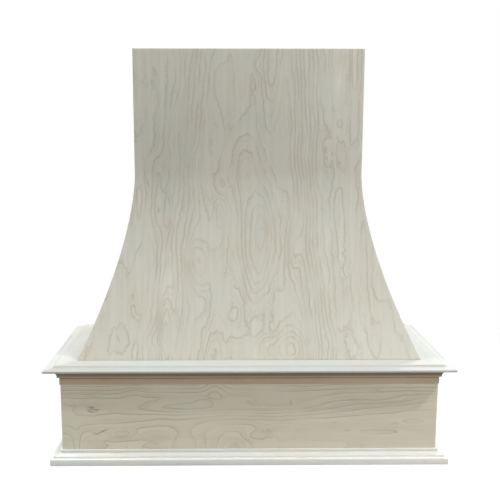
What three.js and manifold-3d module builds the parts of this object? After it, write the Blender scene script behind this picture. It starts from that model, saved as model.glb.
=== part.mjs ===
// A wooden range hood cover: a straight chimney that sweeps out over a mitred ledge,
// above a shallow apron box with a base moulding. Unfinished maple over plywood formers.
//
// Millimetres, +Z up. The wall is the plane y = +backPlane, the front faces -Y, x = 0 is the
// centre line and z = 0 is the underside of the base moulding.

import * as THREE from "three";
import { mergeVertices } from "three/addons/utils/BufferGeometryUtils.js";
import Module from "manifold-3d";

// ---------------------------------------------------------------- driving dimensions
const hoodHeight = 1067;

// Apron: the box that hides the liner, sides and front mitred together.
const apronWidth = 978;
const apronDepth = 470;
const apronHeight = 250;
const apronThickness = 19;

// Ledge: a mitred shelf on top of the apron.
const ledgeOverhang = 38;
const ledgeThickness = 14;
const ledgeInnerReach = 130;
const ledgeEdgeWidth = 27;
const ledgeEdgeDrop = 6.4;
const ledgeEdgeStart = 3.2;

// Chimney and sweep: the flare follows out = sweepRun * (drop / sweepHeight) ^ sweepPower.
const chimneyWidth = 610;
const chimneyDepth = 286;
const chimneyStraight = 327;
const sweepRun = 145;
const sweepPower = 1.6;
const sweepSteps = 26;
const panelThickness = 9;

// Cove moulding under the ledge: a flat band, a quirk, a fillet that overhangs them and a hollow.
const coveHeight = 39;
const coveDepth = 24;
const coveBandOut = 2;
const coveBandHeight = 15;
const coveQuirkDepth = 0.7;
const coveQuirkHeight = 4.2;
const coveFilletOut = 7;
const coveFilletHeight = 1.5;
const coveEdge = 3;

// Base moulding: a shoulder with a quirk under it, a hollow, a step and an upright band.
const baseHeight = 35;
const baseDepth = 28.5;
const baseBandHeight = 17;
const baseShoulder = 5;
const baseShoulderDrop = 5.5;
const baseQuirk = 0.8;
const baseStepOut = 20;
const baseStepHeight = 5.5;
const baseArris = 1.2;

// Frame inside: plywood ribs and solid rails.
const ribThickness = 18;
const ribWidth = 55;
const frontRibSpacing = 200;
const flatRailThickness = 18;
const backRailThickness = 19;
const hangingRailHeight = 89;
const sweepBackRailHeight = 64;
const bottomBackRailHeight = 64;
const waistRailThickness = 19;
const waistRailHeight = 38;
const waistRailAboveKnee = 10;
const cornerPostLeg = 40;

// Inside the apron.
const cleatThickness = 19;
const cleatHeight = 38;
const linerRecess = 22;
const glueBlockLeg = 38;
const rearPostSize = 38;

// Wood screws: countersunk, all of one gauge.
const screwShankRadius = 2.1;
const screwHeadRadius = 4.2;
const screwHeadDepth = 2.8;
const screwTipLength = 4;
const screwSides = 8;
const screwBite = 12;
const railScrewEdge = 20;

// Clearances.
const glueLine = 0.3;
const mitreGap = 0.3;
const screwHoleClearance = 0.3;

const curveSteps = 8;

// ---------------------------------------------------------------- derived places
const ledgeBottom = apronHeight;
const ledgeTop = ledgeBottom + ledgeThickness;
const backPlane = (apronDepth + ledgeOverhang) / 2;
const kneeHeight = hoodHeight - chimneyStraight;
const sweepHeight = kneeHeight - ledgeTop;

// Plans: the rectangle that a profile's "out" is measured from, open at the wall.
const apronPlan = { halfWidth: apronWidth / 2, depth: apronDepth };
const chimneyPlan = { halfWidth: chimneyWidth / 2, depth: chimneyDepth };

// Where the frame's parts stop in front of the back rails, and its heights.
const frameRear = backPlane - backRailThickness - glueLine;
const frameInset = panelThickness + glueLine;
const ribInset = frameInset + ribWidth;
const footRailTop = ledgeTop + glueLine + flatRailThickness;
const topRailBottom = hoodHeight - flatRailThickness;
const ribBottom = footRailTop + glueLine;
const ribTop = topRailBottom - glueLine;
const waistRailBottom = kneeHeight + waistRailAboveKnee;
const chimneyFront = backPlane - chimneyDepth;
const rearRibY = frameRear - ribThickness / 2;
const middleRibY = (rearRibY + chimneyFront) / 2;

const linerCleatTop = linerRecess + cleatHeight;
const ledgeCleatTop = ledgeBottom - glueLine;
const ledgeCleatBottom = ledgeCleatTop - cleatHeight;
const cleatInner = apronThickness + glueLine + cleatThickness;
const apronInside = apronPlan.halfWidth - apronThickness - glueLine;
const apronFrontInside = backPlane - apronDepth + apronThickness + glueLine;
const rearPostFront = frameRear - rearPostSize;

// ---------------------------------------------------------------- materials
const woods = {
  mapleVeneer: new THREE.MeshStandardMaterial({ color: 0xc6c3b6, roughness: 0.62, metalness: 0 }),
  mapleApron: new THREE.MeshStandardMaterial({ color: 0xb4ac98, roughness: 0.62, metalness: 0 }),
  mapleBoard: new THREE.MeshStandardMaterial({ color: 0xdedccf, roughness: 0.55, metalness: 0 }),
  plywood: new THREE.MeshStandardMaterial({ color: 0xc9ae84, roughness: 0.75, metalness: 0 }),
  poplar: new THREE.MeshStandardMaterial({ color: 0xcdbb93, roughness: 0.7, metalness: 0 }),
};
const steel = new THREE.MeshStandardMaterial({ color: 0xb9a765, roughness: 0.38, metalness: 1 });

// ---------------------------------------------------------------- solids and cuts
const wasm = await Module();
wasm.setup();

// A closed geometry as a solid that can be cut.
function toSolid(geometry) {
  const bare = geometry.clone();
  bare.deleteAttribute("normal");
  bare.deleteAttribute("uv");
  const merged = mergeVertices(bare, 1e-4);
  const corners = merged.index.array;
  const triangles = [];
  for (let i = 0; i < corners.length; i += 3) {
    const [a, b, c] = [corners[i], corners[i + 1], corners[i + 2]];
    if (a !== b && b !== c && c !== a) triangles.push(a, b, c);
  }
  return new wasm.Manifold(
    new wasm.Mesh({
      numProp: 3,
      vertProperties: new Float32Array(merged.attributes.position.array),
      triVerts: new Uint32Array(triangles),
    }),
  );
}

// A solid back as a geometry that a mesh can show.
function toGeometry(solid) {
  const { vertProperties, triVerts } = solid.getMesh();
  const geometry = new THREE.BufferGeometry();
  geometry.setAttribute("position", new THREE.BufferAttribute(vertProperties, 3));
  geometry.setIndex(new THREE.BufferAttribute(triVerts, 1));
  geometry.computeVertexNormals();
  return geometry;
}

function cutAway(geometry, cutters) {
  let solid = toSolid(geometry);
  for (const cutter of cutters) solid = solid.subtract(toSolid(cutter));
  return toGeometry(solid);
}

// ---------------------------------------------------------------- shapes
function outline(points) {
  return new THREE.Shape(points.map(([x, y]) => new THREE.Vector2(x, y)));
}

function rectangle(x0, y0, x1, y1) {
  return outline([[x0, y0], [x1, y0], [x1, y1], [x0, y1]]);
}

// A profile, drawn as (out from the plan, height), run along one side of the plan.
// Its front ends are mitred at 45 degrees and its rear ends stop square at `rear`.
function mitredRun(profile, side, plan, rear = backPlane) {
  const geometry = new THREE.ExtrudeGeometry(profile, {
    depth: 1,
    steps: 1,
    bevelEnabled: false,
    curveSegments: curveSteps,
  });
  const pullBack = mitreGap / Math.SQRT2;
  const position = geometry.getAttribute("position");
  for (let i = 0; i < position.count; i++) {
    const across = plan.halfWidth + position.getX(i);
    const front = backPlane - plan.depth - position.getX(i);
    const height = position.getY(i);
    const along = position.getZ(i);
    if (side === "front") {
      position.setXYZ(i, (1 - 2 * along) * (across - pullBack), front, height);
    } else {
      const farEnd = side === "left" ? along === 1 : along === 0;
      const y = farEnd ? rear : front + pullBack;
      position.setXYZ(i, side === "left" ? -across : across, y, height);
    }
  }
  geometry.computeVertexNormals();
  return geometry;
}

// A board whose outline is drawn in the XZ plane, between y = rear - thickness and y = rear.
function boardInXZ(shape, thickness, rear) {
  const geometry = new THREE.ExtrudeGeometry(shape, { depth: thickness, bevelEnabled: false });
  geometry.rotateX(Math.PI / 2);
  geometry.translate(0, rear, 0);
  return geometry;
}

// A prism whose outline is drawn in plan, standing from one height to another.
function standingPrism(shape, bottom, top) {
  const geometry = new THREE.ExtrudeGeometry(shape, { depth: top - bottom, bevelEnabled: false });
  geometry.translate(0, 0, bottom);
  return geometry;
}

// ---------------------------------------------------------------- the sweep
// One point of the sweep as (out, height), on the line `inset` inside the outer face.
function sweepPoint(step, inset) {
  const share = (step / sweepSteps) ** (1 / (sweepPower - 1));
  const drop = sweepHeight * share;
  const out = sweepRun * share ** sweepPower;
  const slope = ((sweepPower * sweepRun) / sweepHeight) * share ** (sweepPower - 1);
  const stretch = Math.hypot(1, slope);
  return [out - inset / stretch, kneeHeight - drop - (inset * slope) / stretch];
}

// The line parallel to the outer face, cut off at two heights and listed from the top down.
function sweepLine(inset, bottom, top) {
  const whole = [[-inset, hoodHeight]];
  for (let step = 0; step <= sweepSteps; step++) whole.push(sweepPoint(step, inset));
  const line = [];
  for (let i = 0; i + 1 < whole.length; i++) {
    const [outA, heightA] = whole[i];
    const [outB, heightB] = whole[i + 1];
    const outAt = (height) => outA + ((outB - outA) * (heightA - height)) / (heightA - heightB);
    if (heightA >= top && heightB < top) line.push([outAt(top), top]);
    else if (heightA < top && heightA > bottom) line.push([outA, heightA]);
    if (heightA > bottom && heightB <= bottom) line.push([outAt(bottom), bottom]);
  }
  return line;
}

function sweepPanel(side) {
  const bottom = ledgeTop + glueLine;
  const outer = sweepLine(0, bottom, hoodHeight);
  const inner = sweepLine(panelThickness, bottom, hoodHeight);
  return mitredRun(outline([...outer, ...inner.reverse()]), side, chimneyPlan);
}

// A curved former behind the panel, with a notch for the waist rail where the bend starts.
function ribOutline(notched) {
  const outer = sweepLine(frameInset, ribBottom, ribTop);
  const inner = sweepLine(ribInset, ribBottom, ribTop);
  if (notched) {
    const floor = -frameInset - waistRailThickness - glueLine;
    const low = waistRailBottom - glueLine;
    const high = waistRailBottom + waistRailHeight + glueLine;
    outer.splice(1, 0, [-frameInset, high], [floor, high], [floor, low], [-frameInset, low]);
  }
  return outline([...outer, ...inner.reverse()]);
}

// A rib behind the front panel stands in a plane across it, centred on x.
function frontRib(x) {
  const geometry = new THREE.ExtrudeGeometry(ribOutline(true), {
    depth: ribThickness,
    bevelEnabled: false,
  });
  const turn = new THREE.Matrix4().set(
    0, 0, -1, x + ribThickness / 2,
    -1, 0, 0, chimneyFront,
    0, 1, 0, 0,
    0, 0, 0, 1,
  );
  return geometry.applyMatrix4(turn);
}

// A rib behind a side panel, centred on y.
function sideRib(side, y, notched) {
  const shape = ribOutline(notched);
  const points = shape.getPoints().map((p) => {
    const across = chimneyPlan.halfWidth + p.x;
    return [side === "left" ? -across : across, p.y];
  });
  return boardInXZ(outline(points), ribThickness, y + ribThickness / 2);
}

// A three-cornered post that follows the curve down the inside of the mitred corner.
function cornerPost(side) {
  const line = sweepLine(frameInset, ribBottom, ribTop).reverse();
  const hand = side === "left" ? 1 : -1;
  const section = outline([[0, 0], [hand * cornerPostLeg, 0], [0, cornerPostLeg]]);
  const geometry = new THREE.ExtrudeGeometry(section, {
    depth: line.length - 1,
    steps: line.length - 1,
    bevelEnabled: false,
  });
  const position = geometry.getAttribute("position");
  for (let i = 0; i < position.count; i++) {
    const [out, height] = line[Math.round(position.getZ(i))];
    const x = position.getX(i) - hand * (chimneyPlan.halfWidth + out);
    const y = position.getY(i) + chimneyFront - out;
    position.setXYZ(i, x, y, height);
  }
  geometry.computeVertexNormals();
  return geometry;
}

// A flat rail of a ring behind the panels; its outer edge follows the panel's inner face.
function flatRail(side, bottom, top) {
  const outer = sweepLine(frameInset, bottom, top);
  const inner = sweepLine(ribInset, bottom, top);
  const innerEdge = Math.min(...inner.map(([out]) => out));
  const shape = outline([...outer, [innerEdge, bottom], [innerEdge, top]]);
  return mitredRun(shape, side, chimneyPlan, frameRear);
}

// The rail let into the ribs at the start of the bend.
function waistRail(side) {
  const bottom = waistRailBottom;
  const top = waistRailBottom + waistRailHeight;
  const outer = frameInset;
  const inner = frameInset + waistRailThickness;
  if (side === "front") {
    const reach = chimneyPlan.halfWidth - frameInset - cornerPostLeg - glueLine;
    return boardInXZ(rectangle(-reach, bottom, reach, top), waistRailThickness, chimneyFront + inner);
  }
  const frontEnd = chimneyFront + frameInset + cornerPostLeg + glueLine;
  const rearEnd = rearRibY - ribThickness / 2 - glueLine;
  const near = chimneyPlan.halfWidth - outer;
  const far = chimneyPlan.halfWidth - inner;
  const shape = side === "left" ? rectangle(-near, bottom, -far, top) : rectangle(far, bottom, near, top);
  return boardInXZ(shape, rearEnd - frontEnd, rearEnd);
}

// The rail across the back at the foot of the sweep, its ends cut to the side panels.
function sweepBackRail() {
  const bottom = ledgeTop + glueLine;
  const edge = sweepLine(frameInset, bottom, bottom + sweepBackRailHeight);
  const right = edge.map(([out, height]) => [chimneyPlan.halfWidth + out, height]);
  const left = right.map(([x, height]) => [-x, height]).reverse();
  return boardInXZ(outline([...right, ...left]), backRailThickness, backPlane);
}

// ---------------------------------------------------------------- mouldings and boards
function ledgeProfile() {
  const nose = ledgeOverhang;
  const flatEnd = nose - ledgeEdgeWidth;
  const low = ledgeTop - ledgeEdgeDrop;
  const roll = (low - ledgeBottom) / 2;
  const shape = new THREE.Shape();
  shape.moveTo(-ledgeInnerReach, ledgeBottom);
  shape.lineTo(nose - roll, ledgeBottom);
  shape.quadraticCurveTo(nose, ledgeBottom, nose, ledgeBottom + roll);
  shape.quadraticCurveTo(nose, low, nose - roll, low);
  shape.quadraticCurveTo(flatEnd + ledgeEdgeStart, low, flatEnd, ledgeTop);
  shape.lineTo(-ledgeInnerReach, ledgeTop);
  return shape;
}

function coveProfile() {
  const top = ledgeBottom - glueLine;
  const bottom = ledgeBottom - coveHeight;
  const bandTop = bottom + coveBandHeight;
  const quirkOut = coveBandOut - coveQuirkDepth;
  const fillet = bandTop + coveQuirkHeight;
  const shape = new THREE.Shape();
  shape.moveTo(glueLine, bottom);
  shape.lineTo(coveBandOut, bottom);
  shape.lineTo(coveBandOut, bandTop);
  shape.lineTo(quirkOut, bandTop);
  shape.lineTo(quirkOut, fillet);
  shape.lineTo(coveFilletOut, fillet);
  shape.lineTo(coveFilletOut, fillet + coveFilletHeight);
  shape.quadraticCurveTo(coveFilletOut, top - coveEdge, coveDepth, top - coveEdge);
  shape.lineTo(coveDepth, top);
  shape.lineTo(glueLine, top);
  return shape;
}

function baseProfile() {
  const shoulderFoot = baseHeight - baseShoulderDrop;
  const hollowFoot = baseBandHeight + baseStepHeight;
  const quirkOut = baseShoulder - baseQuirk;
  const shape = new THREE.Shape();
  shape.moveTo(glueLine, 0);
  shape.lineTo(baseDepth, 0);
  shape.lineTo(baseDepth, baseBandHeight - baseArris);
  shape.quadraticCurveTo(baseDepth, baseBandHeight, baseDepth - baseArris, baseBandHeight);
  shape.lineTo(baseStepOut, baseBandHeight);
  shape.lineTo(baseStepOut, hollowFoot);
  shape.quadraticCurveTo(quirkOut, hollowFoot, quirkOut, shoulderFoot);
  shape.lineTo(baseShoulder, shoulderFoot);
  shape.lineTo(baseShoulder, baseHeight);
  shape.lineTo(glueLine, baseHeight);
  return shape;
}

function apronPanel(side) {
  const profile = rectangle(-apronThickness, 0, 0, ledgeBottom - glueLine);
  return mitredRun(profile, side, apronPlan);
}

function cleat(side, bottom) {
  const profile = rectangle(-cleatInner, bottom, -apronThickness - glueLine, bottom + cleatHeight);
  return mitredRun(profile, side, apronPlan, rearPostFront - glueLine);
}

function glueBlock(side) {
  const hand = side === "left" ? 1 : -1;
  const x = -hand * apronInside;
  const y = apronFrontInside;
  const shape = outline([[x, y], [x + hand * glueBlockLeg, y], [x, y + glueBlockLeg]]);
  return standingPrism(shape, linerCleatTop + glueLine, ledgeCleatBottom - glueLine);
}

function rearPost(side) {
  const inner = apronInside - rearPostSize;
  const [x0, x1] = side === "left" ? [-apronInside, -inner] : [inner, apronInside];
  return standingPrism(rectangle(x0, rearPostFront, x1, frameRear), linerRecess, ledgeCleatTop);
}

function backRail(halfWidth, bottom, top) {
  return boardInXZ(rectangle(-halfWidth, bottom, halfWidth, top), backRailThickness, backPlane);
}

// ---------------------------------------------------------------- screws
// A countersunk wood screw driven forward from the back plane, its head flush there.
// `grow` makes the hole that clears it, which also opens past the head.
function backScrew({ x, height }, grow = 0) {
  const length = backRailThickness + glueLine + screwBite;
  const profile = [
    new THREE.Vector2(0, -grow),
    new THREE.Vector2(screwHeadRadius + grow, -grow),
    new THREE.Vector2(screwShankRadius + grow, screwHeadDepth + grow),
    new THREE.Vector2(screwShankRadius + grow, length - screwTipLength),
    new THREE.Vector2(0, length + grow),
  ];
  const geometry = new THREE.LatheGeometry(profile, screwSides);
  geometry.rotateX(Math.PI);
  return geometry.translate(x, backPlane, height);
}

// The screws of one back rail: at both ends, and at each of the heights.
function railScrews(x, heights) {
  return heights.flatMap((height) => [{ x: -x, height }, { x, height }]);
}

function drilled(geometry, screws) {
  return cutAway(geometry, screws.map((one) => backScrew(one, screwHoleClearance)));
}

// ---------------------------------------------------------------- assembly
const sides = ["front", "left", "right"];

function piece(group, name, geometry, material) {
  const mesh = new THREE.Mesh(geometry, material.clone());
  mesh.name = name;
  group.add(mesh);
}

function screwPieces(group, rail, screws) {
  screws.forEach((one, i) => {
    const end = one.x < 0 ? "left" : "right";
    const row = screws.length > 2 ? ["_lower", "_upper"][Math.floor(i / 2)] : "";
    piece(group, `${rail}_screw_${end}${row}`, backScrew(one), steel);
  });
}

function chimney() {
  const group = new THREE.Group();
  for (const side of sides) {
    piece(group, `sweep_panel_${side}`, sweepPanel(side), woods.mapleVeneer);
    piece(group, `top_rail_${side}`, flatRail(side, topRailBottom, hoodHeight), woods.poplar);
    const footRail = flatRail(side, ledgeTop + glueLine, footRailTop);
    piece(group, `sweep_foot_rail_${side}`, footRail, woods.poplar);
    piece(group, `waist_rail_${side}`, waistRail(side), woods.poplar);
  }
  piece(group, "rib_front_left", frontRib(-frontRibSpacing), woods.plywood);
  piece(group, "rib_front_centre", frontRib(0), woods.plywood);
  piece(group, "rib_front_right", frontRib(frontRibSpacing), woods.plywood);

  const railHalf = chimneyPlan.halfWidth - frameInset;
  const hangingBottom = hoodHeight - hangingRailHeight;
  const hangingScrews = railScrews(railHalf - ribWidth / 2, [
    hangingBottom + railScrewEdge,
    ribTop - railScrewEdge,
  ]);
  const footRailMiddle = ledgeTop + glueLine + sweepBackRailHeight / 2;
  const [ribOut] = sweepLine(frameInset + ribWidth / 2, footRailMiddle, hoodHeight).at(-1);
  const footScrews = railScrews(chimneyPlan.halfWidth + ribOut, [footRailMiddle]);
  for (const side of ["left", "right"]) {
    piece(group, `rib_${side}_middle`, sideRib(side, middleRibY, true), woods.plywood);
    const rearRib = drilled(sideRib(side, rearRibY, false), [...hangingScrews, ...footScrews]);
    piece(group, `rib_${side}_rear`, rearRib, woods.plywood);
    piece(group, `corner_post_${side}`, cornerPost(side), woods.poplar);
  }
  const hangingRail = drilled(backRail(railHalf, hangingBottom, hoodHeight), hangingScrews);
  piece(group, "upper_hanging_rail", hangingRail, woods.poplar);
  piece(group, "sweep_foot_rail_back", drilled(sweepBackRail(), footScrews), woods.poplar);
  screwPieces(group, "upper_hanging_rail", hangingScrews);
  screwPieces(group, "sweep_foot_rail", footScrews);
  return group;
}

function ledge() {
  const group = new THREE.Group();
  for (const side of sides) {
    piece(group, `ledge_${side}`, mitredRun(ledgeProfile(), side, apronPlan), woods.mapleBoard);
    piece(group, `cove_moulding_${side}`, mitredRun(coveProfile(), side, apronPlan), woods.mapleApron);
    piece(group, `ledge_cleat_${side}`, cleat(side, ledgeCleatBottom), woods.poplar);
  }
  return group;
}

function apron() {
  const group = new THREE.Group();
  for (const side of sides) {
    piece(group, `apron_${side}`, apronPanel(side), woods.mapleApron);
    piece(group, `base_moulding_${side}`, mitredRun(baseProfile(), side, apronPlan), woods.mapleBoard);
    piece(group, `liner_cleat_${side}`, cleat(side, linerRecess), woods.poplar);
  }
  const postMiddle = apronInside - rearPostSize / 2;
  const hangingBottom = ledgeCleatTop - hangingRailHeight;
  const hangingScrews = railScrews(postMiddle, [
    hangingBottom + railScrewEdge,
    ledgeCleatTop - railScrewEdge,
  ]);
  const bottomScrews = railScrews(postMiddle, [linerRecess + bottomBackRailHeight / 2]);
  for (const side of ["left", "right"]) {
    piece(group, `glue_block_${side}`, glueBlock(side), woods.poplar);
    const post = drilled(rearPost(side), [...hangingScrews, ...bottomScrews]);
    piece(group, `rear_post_${side}`, post, woods.poplar);
  }
  const hangingRail = backRail(apronInside, hangingBottom, ledgeCleatTop);
  piece(group, "lower_hanging_rail", drilled(hangingRail, hangingScrews), woods.poplar);
  const bottomRail = backRail(apronInside, linerRecess, linerRecess + bottomBackRailHeight);
  piece(group, "bottom_back_rail", drilled(bottomRail, bottomScrews), woods.poplar);
  screwPieces(group, "lower_hanging_rail", hangingScrews);
  screwPieces(group, "bottom_back_rail", bottomScrews);
  return group;
}

const hood = new THREE.Group();
hood.add(chimney(), ledge(), apron());

export default hood;
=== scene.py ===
"""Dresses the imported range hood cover: maple panels and mouldings, plywood ribs, rails, screws.

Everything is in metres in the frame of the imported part: the wall is the plane y = +WALL, the
front faces -Y, x = 0 is the centre line and z = 0 is the underside of the base moulding.
"""

import logging
import math
from collections.abc import Callable, Sequence
from dataclasses import dataclass
from enum import Enum

import bmesh
import bpy
import numpy as np
from mathutils import Matrix, Vector


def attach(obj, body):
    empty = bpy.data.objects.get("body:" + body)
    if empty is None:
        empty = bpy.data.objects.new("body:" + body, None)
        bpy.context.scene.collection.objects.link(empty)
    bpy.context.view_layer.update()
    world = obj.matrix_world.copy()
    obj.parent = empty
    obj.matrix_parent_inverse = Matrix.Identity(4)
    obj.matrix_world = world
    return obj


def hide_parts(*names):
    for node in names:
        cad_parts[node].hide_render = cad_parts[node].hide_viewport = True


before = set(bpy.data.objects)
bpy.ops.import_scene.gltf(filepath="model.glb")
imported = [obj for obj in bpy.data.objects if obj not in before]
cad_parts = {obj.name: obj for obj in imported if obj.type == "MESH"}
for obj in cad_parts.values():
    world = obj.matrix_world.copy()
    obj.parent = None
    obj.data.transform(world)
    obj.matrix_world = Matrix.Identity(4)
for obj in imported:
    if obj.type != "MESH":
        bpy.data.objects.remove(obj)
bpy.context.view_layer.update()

log = logging.getLogger("hood")

MM = 0.001
BODY = "root"
PIECE_ENDING = "_piece"

# Sizes that more than one sub-assembly needs, in metres, as in the part's source.
HOOD_HEIGHT = 1067 * MM
WALL = 254 * MM
LEDGE_BOTTOM = 250 * MM
LEDGE_TOP = 264 * MM
GLUE_LINE = 0.3 * MM
MITRE_GAP = 0.3 * MM
BACK_RAIL = 19 * MM
FRAME_REAR = WALL - BACK_RAIL - GLUE_LINE
APRON_TOP = LEDGE_BOTTOM - GLUE_LINE
SWEEP_FOOT = LEDGE_TOP + GLUE_LINE

# How much is taken off an edge, and how sharp it must be to be eased or to stay crisp.
ARRIS = 0.45 * MM
SOFT_ARRIS = 0.8 * MM
CRISP_ANGLE = math.radians(24)
EASED_ANGLE = math.radians(38)
ARRIS_STEPS = 2
ARRIS_FULLNESS = 0.6
SAME_POINT = 1e-6

Pair = tuple[float, float]
Outline = Sequence[Pair]
Colour = tuple[float, ...]
Socket = bpy.types.NodeSocket
Thing = bpy.types.Object
UP = (0.0, 0.0, 1.0)
WHITE = (1, 1, 1, 1)


class Side(Enum):
    """The three sides of the hood that a panel, board or moulding runs along."""

    FRONT = "front"
    LEFT = "left"
    RIGHT = "right"

    @property
    def outward(self) -> Vector:
        """The direction that this side faces."""
        return Vector({"front": (0, -1, 0), "left": (-1, 0, 0), "right": (1, 0, 0)}[self.value])

    @property
    def along(self) -> Vector:
        """The direction that a run on this side is laid out in, from left to right."""
        return Vector({"front": (1, 0, 0), "left": (0, -1, 0), "right": (0, 1, 0)}[self.value])


class Slot(Enum):
    """The record's material slots."""

    PANEL = "maple_panel"
    APRON = "maple_apron"
    COVE = "maple_cove"
    BOARD = "maple_board"
    PLYWOOD = "plywood"
    POPLAR = "poplar"
    STEEL = "zinc_steel"


class Figure(Enum):
    """How the growth lines of a wood are drawn."""

    PEELED = "peeled"
    SAWN = "sawn"


# ---------------------------------------------------------------- plans, tracks and the sweep


# How far a zone of painted shade or painted light reaches past a corner of the moulding: with
# nothing else near, and beside something that it must leave alone.
ZONE_REACH = 1 * MM
ZONE_EDGE = 0.1 * MM


@dataclass(frozen=True)
class PaintedLightZone:
    """A strip of a moulding painted darker or paler than the rest: painted shade, such as in a
    groove, and painted light.

    Attributes:
        out: Least and greatest distance from the plan's face, in metres.
        height: Least and greatest height above the floor, in metres.
        tone: How bright it is painted beside the rest; below 1 it is painted shade, above 1 painted
            light.
    """

    out: Pair
    height: Pair
    tone: float


@dataclass(frozen=True)
class Track:
    """A straight line in plan that a profile is laid along.

    A profile point stands `out` from the plan's face; at a mitred end the run grows with `out`.

    Attributes:
        side: The side of the hood that it belongs to.
        offset: Distance of the plan's face from the origin.
        start: Where it starts along the side.
        end: Where it ends along the side.
        start_mitre: What its start gains for each metre out.
        end_mitre: What its end gains for each metre out.
    """

    side: Side
    offset: float
    start: float
    end: float
    start_mitre: float = 0.0
    end_mitre: float = 0.0

    def place(self, run: float, out: float, height: float) -> Vector:
        """The point at a distance along the track, out from the face and above the floor."""
        level = Vector((0, 0, height))
        return self.side.along * run + self.side.outward * (self.offset + out) + level

    def read(self, points: np.ndarray) -> tuple[np.ndarray, np.ndarray]:
        """How far points, given as rows of x, y, z, lie along the track and out from the face."""
        run = points @ np.array(self.side.along)
        return run, points @ np.array(self.side.outward) - self.offset

    def ends(self, out: float) -> Pair:
        """Where the run starts and ends for a profile point that stands `out`."""
        return self.start - self.start_mitre * out, self.end + self.end_mitre * out

    def tone(self, points: np.ndarray, zones: Sequence[PaintedLightZone]) -> np.ndarray:
        """How bright a moulding is painted at each point, by the zones of painted shade and light
        there.

        Args:
            points: Rows of x, y, z.
            zones: The zones.

        Returns:
            A number for each point.
        """
        places = (self.read(points)[1], points[:, 2])
        shade = np.ones(len(points))
        for zone in zones:
            inside = np.ones(len(points), bool)
            for place, (low, high) in zip(places, (zone.out, zone.height)):
                inside &= (place > low) & (place < high)
            shade[inside] *= zone.tone
        return shade


@dataclass(frozen=True)
class Plan:
    """A rectangle seen from above, open at the wall, that panels and mouldings stand on."""

    half_width: float
    depth: float

    def track(self, side: Side, rear: float = WALL) -> Track:
        """The track along one side.

        Args:
            side: The side of the plan.
            rear: The y where a side run stops, in metres.

        Returns:
            The track, mitred at the front corners.
        """
        reach = self.depth - WALL
        pull = MITRE_GAP / math.sqrt(2)
        if side is Side.FRONT:
            return Track(side, reach, pull - self.half_width, self.half_width - pull, 1.0, 1.0)
        if side is Side.LEFT:
            return Track(side, self.half_width, -rear, reach - pull, 0.0, 1.0)
        return Track(side, self.half_width, pull - reach, rear, 1.0, 0.0)


@dataclass(frozen=True)
class Sweep:
    """The rule of the sweep below the knee: out = run * (drop / height) ** power."""

    knee: float = 740 * MM
    height: float = 476 * MM
    run: float = 145 * MM
    power: float = 1.6
    table_foot: float = 200 * MM
    table_rows: int = 800

    def share(self, level: np.ndarray | float) -> np.ndarray:
        """How far down the sweep a level is: 0 at the knee and above it, 1 at the foot."""
        return np.maximum(0.0, self.knee - np.asarray(level)) / self.height

    def out(self, level: np.ndarray | float) -> np.ndarray:
        """How far the face stands out at a level."""
        return self.run * self.share(level) ** self.power

    def slope(self, level: np.ndarray | float) -> np.ndarray:
        """How far the face moves out for each metre down, at a level."""
        return self.power * self.run / self.height * self.share(level) ** (self.power - 1)

    def line(self, inset: float, bottom: float, top: float, rows: int = 40) -> list[Pair]:
        """The line inside the face, cut off at two levels.

        Args:
            inset: Distance inside the face, square to it.
            bottom: Lowest level.
            top: Highest level.
            rows: Steps between them.

        Returns:
            Points as (out, level) from the top down.
        """
        levels = np.linspace(top, bottom, rows + 1)
        outs = self.out(levels) - inset * np.hypot(1.0, self.slope(levels))
        return [(float(o), float(z)) for o, z in zip(outs, levels)]

    def arc(self, level: np.ndarray) -> np.ndarray:
        """Length of the face from the top of the hood down to each level.

        Args:
            level: The levels.

        Returns:
            The lengths.
        """
        table = np.linspace(HOOD_HEIGHT, self.table_foot, self.table_rows)
        steps = np.hypot(np.diff(table), np.diff(self.out(table)))
        lengths = np.concatenate([[0.0], np.cumsum(steps)])
        return np.interp(-level, -table, lengths)


CHIMNEY = Plan(305 * MM, 286 * MM)
APRON = Plan(489 * MM, 470 * MM)
SWEEP = Sweep()


# ---------------------------------------------------------------- grain: which way fibres run


@dataclass(frozen=True)
class BoardGrain:
    """Fibres straight along a sawn board, with the heart of the tree at a place of its own.

    The attribute holds (across, along, through), in metres from the heart.
    """

    across: Vector
    along: Vector
    shift: tuple[float, float, float]

    def of(self, points: np.ndarray) -> np.ndarray:
        """The grain coordinates of points given as rows of x, y, z."""
        through = self.across.cross(self.along)
        axes = np.array([self.across, self.along, through], float)
        return points @ axes.T + np.array(self.shift)


@dataclass(frozen=True)
class BentGrain:
    """Fibres that run down a bent sheet: across it, down its face, and in from its outer face."""

    track: Track
    shift: float = 0.0

    def of(self, points: np.ndarray) -> np.ndarray:
        """The grain coordinates of points given as rows of x, y, z.

        Args:
            points: The points.

        Returns:
            Rows of coordinates.
        """
        run, out = self.track.read(points)
        level = points[:, 2]
        deep = (SWEEP.out(level) - out) / np.hypot(1.0, SWEEP.slope(level))
        return np.stack([run + self.shift, SWEEP.arc(level), deep], axis=1)


@dataclass(frozen=True)
class PlyGrain:
    """Fibres that run up a former cut from a flat sheet: across it, up it, through its plies."""

    track: Track
    middle: float
    half: float
    shift: float = 0.0

    def of(self, points: np.ndarray) -> np.ndarray:
        """The grain coordinates of points given as rows of x, y, z."""
        run, out = self.track.read(points)
        deep = run - self.middle + self.half
        return np.stack([out + self.shift, points[:, 2] + self.shift, deep], axis=1)


Grain = BoardGrain | BentGrain | PlyGrain


# ---------------------------------------------------------------- drawing node trees


@dataclass(frozen=True)
class Noise:
    """A noise texture.

    Attributes:
        stretch: Features to a metre, across, along and through.
        detail: Octaves of detail.
        start: A shift that makes it differ from the other noises.
    """

    stretch: tuple[float, float, float]
    detail: float = 2.0
    start: float = 0.0

    def on(self, drift: Pair) -> "Noise":
        """The noise on a wood, when its stretch is given as shares of the wood's drift."""
        across, along = drift
        wide, tall, deep = self.stretch
        return Noise((across * wide, along * tall, across * deep), self.detail, self.start)


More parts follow.
